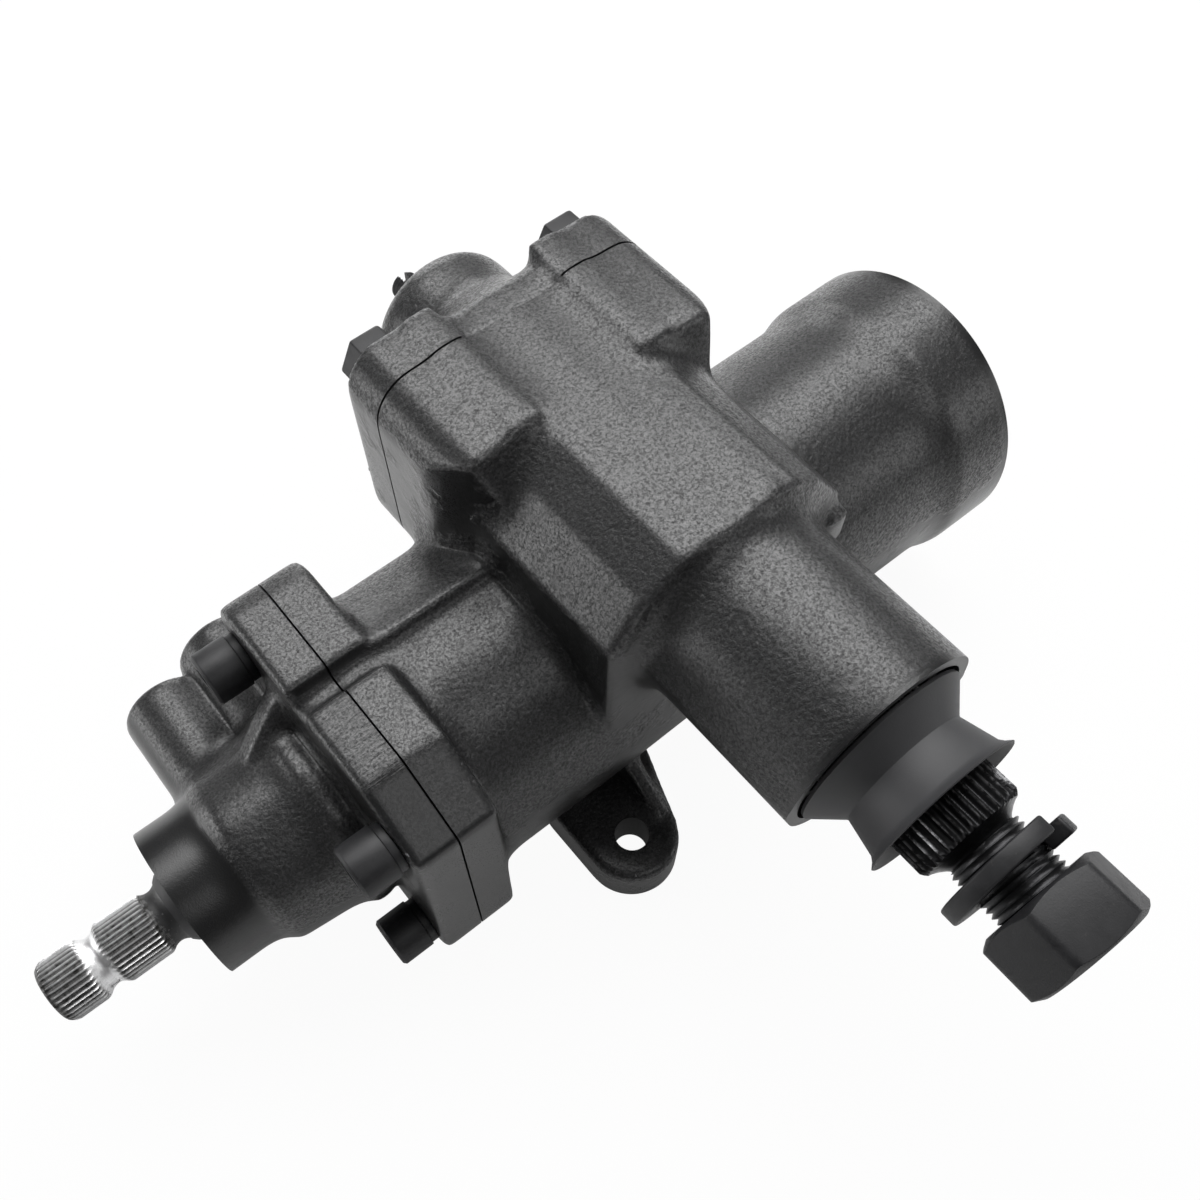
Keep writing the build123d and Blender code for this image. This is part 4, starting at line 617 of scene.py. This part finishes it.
def neighbour_means(values, edges):
    """Mean of each vertex's neighbours, column by column."""
    first, second = edges[:, 0], edges[:, 1]
    size = len(values)
    counts = np.maximum(np.bincount(edges.ravel(), minlength=size), 1)
    sums = [
        np.bincount(first, column[second], size) + np.bincount(second, column[first], size)
        for column in values.T
    ]
    return np.stack(sums, 1) / counts[:, None]


def relax(values, edges, share, rounds):
    """Moves every value a share of the way to its neighbours' mean, some rounds long."""
    for _ in range(rounds):
        values += share * (neighbour_means(values, edges) - values)


def soften_mould(mesh, edge_rounds, fillet_rounds):
    """Rounds every edge a little and fills hollow corners with wide fillets."""
    places = rows(mesh.vertices, "co", 3)
    edges = rows(mesh.edges, "vertices", 2, np.int32)
    relax(places, edges, 0.5, edge_rounds)
    move_vertices(mesh, places)
    normals = rows(mesh.vertices, "normal", 3)
    for _ in range(fillet_rounds):
        step = neighbour_means(places, edges) - places
        outward = np.maximum((step * normals).sum(1), 0)
        places += 0.9 * outward[:, None] * normals
    relax(places, edges, 0.5, 2)
    move_vertices(mesh, places)


def surface_values(mesh, zones):
    """Gives a casting the point attributes that its paint reads, each from 0 to 1."""
    places = rows(mesh.vertices, "co", 3)
    normals = rows(mesh.vertices, "normal", 3)
    edges = rows(mesh.edges, "vertices", 2, np.int32)
    lengths = np.linalg.norm(places[edges[:, 0]] - places[edges[:, 1]], axis=1)
    spacing = max(float(np.median(lengths)), 1e-6)
    bend = ((neighbour_means(places, edges) - places) * normals).sum(1) / spacing
    spread = {
        "hollow": np.clip(bend * 9, 0, 1),
        "edge": np.clip(-bend * 9, 0, 1),
        "machined": np.zeros(len(places)),
        "ground": np.zeros(len(places)),
    }
    for name, zone in zones:
        spread[name] = np.maximum(spread[name], zone(places / MM, normals))
    columns = np.stack(list(spread.values()), 1)
    relax(columns, edges, 0.6, 3)
    upward = normals[:, 2]
    by_name = {
        **dict(zip(spread, columns.T)),
        "pebbled": np.clip(upward * 1.5 + 0.25, 0, 1),
        "tilted": np.clip((0.95 - upward) * 3, 0, 1),
    }
    for name, values in by_name.items():
        attribute = mesh.attributes.new(name, "FLOAT", "POINT")
        attribute.data.foreach_set("value", values.astype(np.float32))


def cast_piece(node, settings, stretches, plugs, cutters, zones):
    """Casting copied from its node: bores plugged, corners rounded, machined faces cut again."""
    named = finishes()
    bm = merged(frame["nodes"][node].data)
    for chosen, shift in stretches:
        beyond = [vert for vert in bm.verts if chosen(vert.co / MM)]
        bmesh.ops.translate(bm, verts=beyond, vec=Vector(shift) * MM)
    piece = to_object(node + "_casting", absorb(bm, *plugs), [named["cast_paint"]])
    remesh = piece.modifiers.new("skin", "REMESH")
    remesh.mode = "VOXEL"
    remesh.voxel_size = settings.voxel
    apply_modifiers(piece)
    soften_mould(piece.data, settings.edge_rounds, settings.fillet_rounds)
    if not piece.data.materials:
        piece.data.materials.append(named["cast_paint"])
    cut(piece, cutters, named["machined_paint"])
    surface_values(piece.data, zones)
    piece.data.shade_smooth()
    piece.data.set_sharp_from_angle(angle=radians(38))
    return stand_for(piece, node)


def cover_groove(low_y, high_y):
    """Thin boxes that part the side cover's lobes from the housing and leave the middle flush."""
    reach, inner_x, lobe_x, lobe_z = 60, 17.5, COVER_SEAT, 30.2
    spans = (
        (lobe_x, reach, -reach, reach),
        (inner_x, lobe_x, lobe_z, reach),
        (inner_x, lobe_x, -reach, -lobe_z),
    )
    boxes = []
    for side in (-1, 1):
        for near, far, low, high in spans:
            x = sorted((side * near, side * far))
            boxes.append(slab((x[0], low_y, SECTOR_UP + low), (x[1], high_y, SECTOR_UP + high)))
    return boxes


def softened(node, width):
    """Copy of a machined node with its corners broken."""
    bm = merged(frame["nodes"][node].data)
    bmesh.ops.dissolve_limit(
        bm, angle_limit=radians(1.2), verts=bm.verts, edges=bm.edges, use_dissolve_boundaries=False,
    )
    break_corners(bm, width, 30)
    return stand_for(to_object(node + "_piece", bm, [finish_of(node)]), node)


FINISHES = {}


def finishes():
    """Every finish by name, made once."""
    colour = tuple(bpy.context.scene.gearbox_casting.colour)
    if not FINISHES:
        FINISHES.update({
            "cast_paint": cast_paint(colour),
            "machined_paint": machined_paint(colour),
            "black_oxide": black_oxide(),
            "ground_steel": ground_steel(),
            "forged_steel": oiled_steel(),
            "seal_rubber": seal_rubber(),
            "seal_plastic": plain_finish("seal_plastic", ((0.07, 0.045, 0.03), (0.11, 0.07, 0.05)), 0.5, 0),
            "bronze": plain_finish("bronze", ((0.42, 0.29, 0.13), (0.55, 0.4, 0.19)), 0.35, 0.95),
        })
    return FINISHES


def finish_of(node):
    """Finish of a node's slot. A cast node that keeps its modelled shape is painted as a face cut flat."""
    slot_name = SLOT_OF[node]
    return finishes()["machined_paint" if slot_name == "cast_black" else slot_name]


class GEARBOX_OT_gear_housing(bpy.types.Operator):
    """Makes the big casting with its barrel, chamber, tube and ear"""

    bl_idname = "gearbox.gear_housing"
    bl_label = "Gear housing"

    def execute(self, context):
        stretches = [
            (lambda p: p.x < SEAM_X + 0.1, (-SPARE, 0, 0)),
            (lambda p: p.x > END_X - 1.5, (SPARE, 0, 0)),
            (lambda p: p.y < TUBE_Y + 1.5, (0, -SPARE, 0)),
            (lambda p: abs(p.y - COVER_Y) < 0.1 and p.z > LOBE_Z, (0, SPARE, 0)),
            (lambda p: p.z < 0.1, (0, 0, -SPARE)),
        ]
        seam, end, tube, cover = SEAM_X - SPARE, END_X + SPARE, TUBE_Y - SPARE, COVER_Y + SPARE
        bolt_x, bolt_y = -40.3, -57.3
        plugs = [
            lathe(WORM_AXIS, [(seam, 0), (seam, 28), (-88, 28), (-88, 39), (end, 43.8), (end, 0)]),
            lathe(SECTOR_AXIS, [(tube, 0), (tube, 28.4), (-24, 27), (-24, 35), (cover, 35), (cover, 0)]),
            drill((bolt_x, bolt_y, -3), (bolt_x, bolt_y, 15.5), 6.6),
            slab((-31.8, tube, SECTOR_UP - 4), (-28, -42, SECTOR_UP + 1.5)),
            slab((28, tube, SECTOR_UP - 1), (31.6, -42, SECTOR_UP + 1)),
        ]
        cutters = [
            slab((SEAM_X - 20, -90, -20), (SEAM_X + SEAM_GAP, 90, 140)),
            slab((END_X, -90, -20), (END_X + 20, 90, 140)),
            slab((-70, TUBE_Y - 20, LOBE_Z), (70, TUBE_Y, 160)),
            slab((-80, COVER_Y, LOBE_Z), (80, COVER_Y + 20, 170)),
            slab((-150, -120, -20), (160, 120, 0)),
            lathe(WORM_AXIS, [
                (seam, 0), (seam, 27), (-90, 27), (-90, 14), (-78, 14), (-78, 38), (107, 38), (107, 41),
                (end, 41), (end, 0),
            ]),
            lathe(SECTOR_AXIS, [
                (tube, 0), (tube, 27.6), (-97, 27.6), (-97, 23.8), (-60, 23.8), (-60, 22.2), (-23.5, 22.2),
                (-23.5, 34.4), (cover, 34.4), (cover, 0),
            ]),
            drill((bolt_x, bolt_y, -3), (bolt_x, bolt_y, 20), 5.8),
            drill((78, 0, -3), (78, 0, 11), 5.1),
            drill((-44, 58, -3), (-44, 58, 11), 5.1),
            *cover_groove(COVER_Y - GROOVE, COVER_Y + 0.1),
        ]
        zones = [
            ("machined", lambda p, n: (p[:, 0] > END_X - 2)),
            ("machined", lambda p, n: (p[:, 1] < TUBE_Y + 1.5) & (p[:, 2] > LOBE_Z)),
            ("machined", lambda p, n: (p[:, 0] < SEAM_X + 13) & (n[:, 1] < -0.8)),
            ("machined", lambda p, n: 0.5 * ((p[:, 0] < SEAM_X + 13) & (p[:, 1] < -29) & (n[:, 2] > 0.6))),
        ]
        cast_piece("gear_housing", context.scene.gearbox_casting, stretches, plugs, cutters, zones)
        return {"FINISHED"}


class GEARBOX_OT_valve_housing(bpy.types.Operator):
    """Makes the valve housing with its flange and hose bosses"""

    bl_idname = "gearbox.valve_housing"
    bl_label = "Valve housing"

    def execute(self, context):
        stretches = [
            (lambda p: p.x > SEAM_X - 0.1, (SPARE, 0, 0)),
            (lambda p: p.x < NECK_X + 1.5, (-SPARE, 0, 0)),
        ]
        neck, seam = NECK_X - SPARE, SEAM_X + SPARE
        plugs = [
            lathe(WORM_AXIS, [
                (neck, 0), (neck, 16), (-150, 16), (-150, 23), (-108, 23), (-108, 34), (seam, 34), (seam, 0),
            ]),
            *(drill((x, 20, PORT_Z), (x, mouth, PORT_Z), 9) for x, floor, mouth, top in PORTS),
        ]
        cutters = [
            slab((SEAM_X - SEAM_GAP, -90, -20), (SEAM_X + 20, 90, 140)),
            slab((NECK_X - 20, -60, 0), (NECK_X, 60, 110)),
            lathe(WORM_AXIS, [
                (neck, 0), (neck, 15), (-149, 15), (-149, 22), (-107, 22), (-107, 27), (seam, 27), (seam, 0),
            ]),
            *(drill((x, floor, PORT_Z), (x, top, PORT_Z), 8) for x, floor, mouth, top in PORTS),
            *(drill((x, 15, PORT_Z), (x, floor + 5, PORT_Z), 4, 24) for x, floor, mouth, top in PORTS),
            *(drill((-130, y, z), (-112, y, z), 9.4) for y in (-38, 38) for z in (19.5, 89.5)),
        ]
        zones = [
            ("machined", lambda p, n: (p[:, 0] < -149.5)),
            ("machined", lambda p, n: (p[:, 0] > -113) & (n[:, 1] < -0.8)),
            ("machined", lambda p, n: 0.75 * ((p[:, 0] > -113) & (p[:, 1] < -29) & (n[:, 2] > 0.6))),
            ("ground", lambda p, n: (p[:, 0] > -113) & (p[:, 1] > -29) & (p[:, 1] < 0) & (n[:, 2] > 0.7)),
        ]
        cast_piece("valve_housing", context.scene.gearbox_casting, stretches, plugs, cutters, zones)
        return {"FINISHED"}


class GEARBOX_OT_side_cover(bpy.types.Operator):
    """Makes the side cover with its dome"""

    bl_idname = "gearbox.side_cover"
    bl_label = "Side cover"

    def execute(self, context):
        def on_lobe_face(p):
            outside_seat = p.x ** 2 + (p.z - SECTOR_UP) ** 2 > COVER_SEAT ** 2
            return abs(p.y - COVER_Y) < 0.1 and outside_seat

        plugs = [lathe(SECTOR_AXIS, [(28, 0), (28, 23), (75, 23), (75, 6), (93, 6), (93, 0)])]
        cutters = [
            lathe(SECTOR_AXIS, [(20, 34.35), (20, 80), (COVER_Y, 80), (COVER_Y, 34.35)]),
            lathe(SECTOR_AXIS, [(10, 0), (10, 19.0), (70, 19.0), (70, 4.85), (100, 4.85), (100, 0)]),
            *cover_groove(COVER_Y - 0.1, COVER_Y + GROOVE),
        ]
        stretches = [(on_lobe_face, (0, -SPARE, 0))]
        cast_piece("side_cover", context.scene.gearbox_casting, stretches, plugs, cutters, [])
        return {"FINISHED"}


class GEARBOX_OT_arm_nut(bpy.types.Operator):
    """Makes the big nut with its turned chamfers and the split washer under it"""

    bl_idname = "gearbox.arm_nut"
    bl_label = "Arm nut and washer"

    def execute(self, context):
        black = finishes()["black_oxide"]
        near, far, flats, bore = -154.0, -172.5, 33.3, 11.15
        nut = to_object("arm_nut_piece", hexagon(SECTOR_AXIS, near, far, flats, radians(20), 1.6), [black])
        rim, reach = flats / 2 - 1.2, flats / 2 + 3.4
        turned = lathe(SECTOR_AXIS, [
            (near, 0), (near, rim), (near - 2.7, reach), (far + 2.4, reach), (far, rim), (far, 0),
        ])
        cut(nut, [turned], black, "INTERSECT")
        cut(nut, [drill((0, near + 1, SECTOR_UP), (0, far - 1, SECTOR_UP), bore, 64)], black)
        bm = merged(nut.data)
        bmesh.ops.dissolve_limit(bm, angle_limit=radians(1), verts=bm.verts, edges=bm.edges)
        break_corners(bm, 0.35, 22, 2)
        bpy.data.objects.remove(nut)
        stand_for(to_object("arm_nut_piece", bm, [black], 30), "arm_nut")
        washer = bmesh.new()
        near, far, inner, outer = -149.1, -144.1, 11.5, 18.7
        start, sweep, steps, twist = radians(38), radians(346), 90, 3.0
        corners = ((near, inner), (near, outer), (far, outer), (far, inner))
        face = washer.faces.new([washer.verts.new(SECTOR_AXIS.point(*corner, start)) for corner in corners])
        bmesh.ops.spin(
            washer, geom=[face, *face.verts, *face.edges], cent=SECTOR_AXIS.origin, axis=SECTOR_AXIS.along,
            angle=sweep, steps=steps, dvec=Vector((0, twist / steps, 0)) * MM, use_merge=False,
        )
        bmesh.ops.recalc_face_normals(washer, faces=washer.faces)
        break_corners(washer, 0.7, 40)
        stand_for(to_object("arm_lock_washer_piece", washer, [black], 35), "arm_lock_washer")
        return {"FINISHED"}


class GEARBOX_OT_fasteners(bpy.types.Operator):
    """Makes the bolts, washers, nuts and rings with broken corners"""

    bl_idname = "gearbox.fasteners"
    bl_label = "Fasteners"

    def execute(self, context):
        for node, width in (
            ("valve_housing_bolts", 0.45), ("valve_bolt_washers", 0.25), ("side_cover_bolts", 0.45),
            ("adjuster_locknut", 0.3), ("end_cap", 0.5), ("end_cap_retaining_ring", 0.2),
        ):
            softened(node, width)
        return {"FINISHED"}


class GEARBOX_OT_input_shaft(bpy.types.Operator):
    """Makes the serrated input shaft and the seal that it passes through"""

    bl_idname = "gearbox.input_shaft"
    bl_label = "Input shaft"

    def execute(self, context):
        steel = finishes()["ground_steel"]
        split, teeth = -170.9, 36
        bm = lathe(WORM_AXIS, [
            (-213, 0), (-213, 8.3), (-212.7, 8.9), (-212.0, 9.5), (-211.0, 10.05), (-210.0, 10.3),
            (-208.5, 10.3), (-205, 10.3), (-202, 10.3), (-201.0, 10.3), (-200.3, 10.1), (-199.7, 9.7),
            (-199.1, 9.25), (-198.4, 8.8), (-197.6, 8.45), (-196.8, 8.25), (-196.0, 8.2), (-195.3, 8.3),
            (-194.7, 8.6), (-194.0, 9.1), (-193.4, 9.6), (-192.8, 10.05), (-192.2, 10.3), (-191, 10.3),
            (-188, 10.3), (-184, 10.3), (-180, 10.3), (-179.0, 10.3), (-178.4, 10.05), (-177.9, 9.7),
            (-177.2, 9.25), (-176.4, 8.95), (-175.4, 8.8), (-174.4, 8.9), (-173.4, 9.3), (-172.5, 9.9),
            (-171.7, 10.5), (split, 11.0), (split, 0),
        ], teeth * 8)
        serrate(bm, WORM_AXIS, -212.9, -177.0, teeth, 9.25, 0.3)
        outer = to_object("outer", bm, [steel])
        cut(outer, [
            drill((-203.6, 0, WORM_UP), (split + 1, 0, WORM_UP), 4.65),
            drill((-196.5, -9, WORM_UP), (-196.5, 9, WORM_UP), 1.65, 24),
        ], steel)
        whole = absorb(sheared_node("input_shaft", WORM_AXIS, split, 1), merged(outer.data))
        bpy.data.objects.remove(outer)
        stand_for(to_object("input_shaft_piece", whole, [steel], 40), "input_shaft")
        seal = lathe(WORM_AXIS, [
            (-172.3, 10.45), (-172.0, 10.75), (-171.0, 11.7), (-169.8, 12.5), (-168.4, 13.3), (-167.9, 14.95),
            (-165.5, 14.95), (-165.5, 11.1), (-170.4, 11.1),
        ], 96)
        rubber = finishes()["seal_rubber"]
        stand_for(to_object("input_dust_seal_piece", seal, [rubber], 50), "input_dust_seal")
        return {"FINISHED"}


class GEARBOX_OT_sector_shaft(bpy.types.Operator):
    """Makes the sector shaft's serrated and threaded arm end and its dust seal"""

    bl_idname = "gearbox.sector_shaft"
    bl_label = "Sector shaft"

    def execute(self, context):
        named = finishes()
        split, teeth = -112.0, 36
        bm = lathe(SECTOR_AXIS, [
            (-138.6, 0), (-138.6, 9.8), (-137.0, 9.9), (-136.3, 10.6), (-135.2, 12.2), (-134.5, 13.6),
            (-134.2, 14.6), (-133.4, 15.3), (-132.6, 15.8), (-130, 15.8), (-126, 15.8), (-122, 15.8),
            (-118, 15.8), (-115.5, 15.8), (-114.6, 16.2), (-113.6, 17.3), (split, 17.35), (split, 0),
        ], teeth * 8)
        serrate(bm, SECTOR_AXIS, -134.3, -113.7, teeth, 14.3, 0.25)
        screw = thread(SECTOR_AXIS, -137.6, -171.0, radius=11.1, depth=1.15, pitch=1.814, chamfer=1.4)
        whole = absorb(sheared_node("sector_shaft", SECTOR_AXIS, split, 1), bm, screw)
        stand_for(to_object("sector_shaft_piece", whole, [named["forged_steel"]], 28), "sector_shaft")
        seal = lathe(SECTOR_AXIS, [
            (-102.2, 26.5), (-103.2, 26.7), (-110.6, 19.2), (-111.2, 18.9), (-112, 19.1), (-121.6, 21.2),
            (-123.0, 22.2), (-124.2, 23.6), (-124.5, 23.3), (-123.3, 21.6), (-121.8, 20.2), (-112, 17.8),
            (-110.4, 17.75), (-102.2, 25.2),
        ], 128)
        stand_for(to_object("sector_dust_seal_piece", seal, [named["seal_rubber"]], 25), "sector_dust_seal")
        return {"FINISHED"}


class GEARBOX_OT_adjuster(bpy.types.Operator):
    """Makes the slotted and threaded lash adjuster"""

    bl_idname = "gearbox.adjuster"
    bl_label = "Lash adjuster"

    def execute(self, context):
        black = finishes()["black_oxide"]
        split, tip = 92.0, 111.0
        bar = thread(SECTOR_AXIS, split, tip, radius=4.8, depth=0.75, pitch=1.25, chamfer=0.9)
        screw = to_object("screw", bar, [black])
        cut(screw, [slab((-1.3, 107.6, 95), (1.3, 112, 125))], black)
        whole = absorb(sheared_node("adjuster_screw", SECTOR_AXIS, split, -1), merged(screw.data))
        bpy.data.objects.remove(screw)
        stand_for(to_object("adjuster_screw_piece", whole, [black], 28), "adjuster_screw")
        return {"FINISHED"}


class GEARBOX_OT_inner_finishes(bpy.types.Operator):
    """Gives the pieces that keep their modelled shape their finish"""

    bl_idname = "gearbox.inner_finishes"
    bl_label = "Inner finishes"

    def execute(self, context):
        for node, item in frame["nodes"].items():
            item.data.materials.clear()
            item.data.materials.append(finish_of(node))
        return {"FINISHED"}


LAMP_AIM = Vector((0, 0, 0.06))
LAMPS = (  # name, place and size in metres, and share of the key lamp's power
    ("key_lamp", (0.26, 0.40, 1.10), (1.3, 0.8), 1.0),
    ("back_lamp", (-1.15, 0.70, 0.22), (0.7, 0.7), 0.36),
    ("front_lamp", (0.05, -0.75, 1.05), (0.55, 0.55), 0.10),
    ("low_lamp", (0.85, -0.90, 0.50), (0.5, 0.5), 0.10),
    ("side_lamp", (1.05, 0.50, 0.85), (0.5, 0.5), 0.18),
    ("far_lamp", (0.40, 1.15, 0.38), (0.6, 0.6), 0.22),
)
CAMERA_PLACE = (-0.13769, -0.15159, 0.38232)
CAMERA_TURN = Matrix((
    (0.78903252, 0.56961133, -0.23015347),
    (-0.61230355, 0.69856955, -0.37024984),
    (-0.0501203, 0.43306295, 0.89996913),
))


def pale_floor(side):
    """Square floor just under the gearbox that looks white and keeps the gearbox's shadow."""
    finish = Finish("pale_floor", roughness=0.9)
    finish.feed("Base Color", (0.9, 0.9, 0.9, 1))
    straight, shine, glass = finish.ray_kinds()
    shown = (straight * 0.95 + (shine + glass) * 0.1).limited()
    lit = Socket(finish, finish.shader.outputs[0])
    glow = finish.node("ShaderNodeEmission", {}, {"Color": (1, 1, 1, 1), "Strength": 1.0})
    mix = finish.node("ShaderNodeMixShader", {}, {0: shown, 1: lit, 2: glow})
    finish.join(finish.nodes["Material Output"].inputs["Surface"], mix)
    bm = bmesh.new()
    bmesh.ops.create_grid(bm, x_segments=1, y_segments=1, size=side / 2)
    bmesh.ops.translate(bm, verts=bm.verts, vec=(0, 0, -0.05 * MM))
    return to_object("floor", bm, [finish.material])


def studio_world(strength):
    """World that is white to the camera, dim in reflections and faint as light."""
    world = bpy.data.worlds.new("studio")
    world.use_nodes = True
    sky = NodeTree(world.node_tree)
    straight, shine, glass = sky.ray_kinds()
    dimmed = (shine + glass) * 0.06 + strength
    background = sky.nodes["Background"]
    sky.join(background.inputs["Color"], (1, 1, 1, 1))
    sky.join(background.inputs["Strength"], dimmed.maths("MAXIMUM", straight, dimmed))
    return world


def photo_camera():
    """Camera at the photograph's viewing angle."""
    view = bpy.data.cameras.new("photo_view")
    view.sensor_width = 36
    view.lens = 34.51
    view.shift_x = 0.0663
    view.shift_y = 0.1029
    view.clip_start = 0.01
    camera = bpy.data.objects.new("photo_view", view)
    camera.matrix_world = Matrix.Translation(CAMERA_PLACE) @ CAMERA_TURN.to_4x4()
    return camera


class GEARBOX_OT_stage(bpy.types.Operator):
    """Sets the floor, the soft lamps and the camera"""

    bl_idname = "gearbox.stage"
    bl_label = "Stage"

    def execute(self, context):
        scene = context.scene
        settings = scene.gearbox_stage
        floor = pale_floor(settings.floor_size)
        for name, place, size, share in LAMPS:
            light = bpy.data.lights.new(name, "AREA")
            light.shape = "RECTANGLE"
            light.size, light.size_y = size
            light.energy = settings.key_power * share
            lamp = bpy.data.objects.new(name, light)
            lamp.location = place
            lamp.rotation_euler = (LAMP_AIM - Vector(place)).to_track_quat("-Z", "Y").to_euler()
            scene.collection.objects.link(lamp)
        scene.world = studio_world(settings.world_strength)
        camera = photo_camera()
        scene.collection.objects.link(camera)
        scene.camera = camera
        scene.view_settings.view_transform = "Standard"
        return {"FINISHED"}


class GEARBOX_PT_panel(bpy.types.Panel):
    """Buttons that make the gearbox piece by piece"""

    bl_label = "Gearbox"
    bl_idname = "GEARBOX_PT_panel"
    bl_space_type = "VIEW_3D"
    bl_region_type = "UI"
    bl_category = "Gearbox"

    def draw(self, context):
        for group in (context.scene.gearbox_casting, context.scene.gearbox_stage):
            for name in group.bl_rna.properties.keys():
                if name not in ("rna_type", "name"):
                    self.layout.prop(group, name)
        for operator in OPERATORS:
            self.layout.operator(operator.bl_idname)


OPERATORS = (
    GEARBOX_OT_inner_finishes,
    GEARBOX_OT_gear_housing,
    GEARBOX_OT_valve_housing,
    GEARBOX_OT_side_cover,
    GEARBOX_OT_fasteners,
    GEARBOX_OT_arm_nut,
    GEARBOX_OT_input_shaft,
    GEARBOX_OT_sector_shaft,
    GEARBOX_OT_adjuster,
    GEARBOX_OT_stage,
)
CLASSES = (CastingSettings, StageSettings, *OPERATORS, GEARBOX_PT_panel)


def register():
    for cls in CLASSES:
        bpy.utils.register_class(cls)
    bpy.types.Scene.gearbox_casting = bpy.props.PointerProperty(type=CastingSettings)
    bpy.types.Scene.gearbox_stage = bpy.props.PointerProperty(type=StageSettings)


def unregister():
    del bpy.types.Scene.gearbox_stage
    del bpy.types.Scene.gearbox_casting
    for cls in reversed(CLASSES):
        bpy.utils.unregister_class(cls)


def main():
    register()
    for operator in OPERATORS:
        getattr(bpy.ops.gearbox, operator.bl_idname.split(".")[1])()


if __name__ == "__main__":
    main()
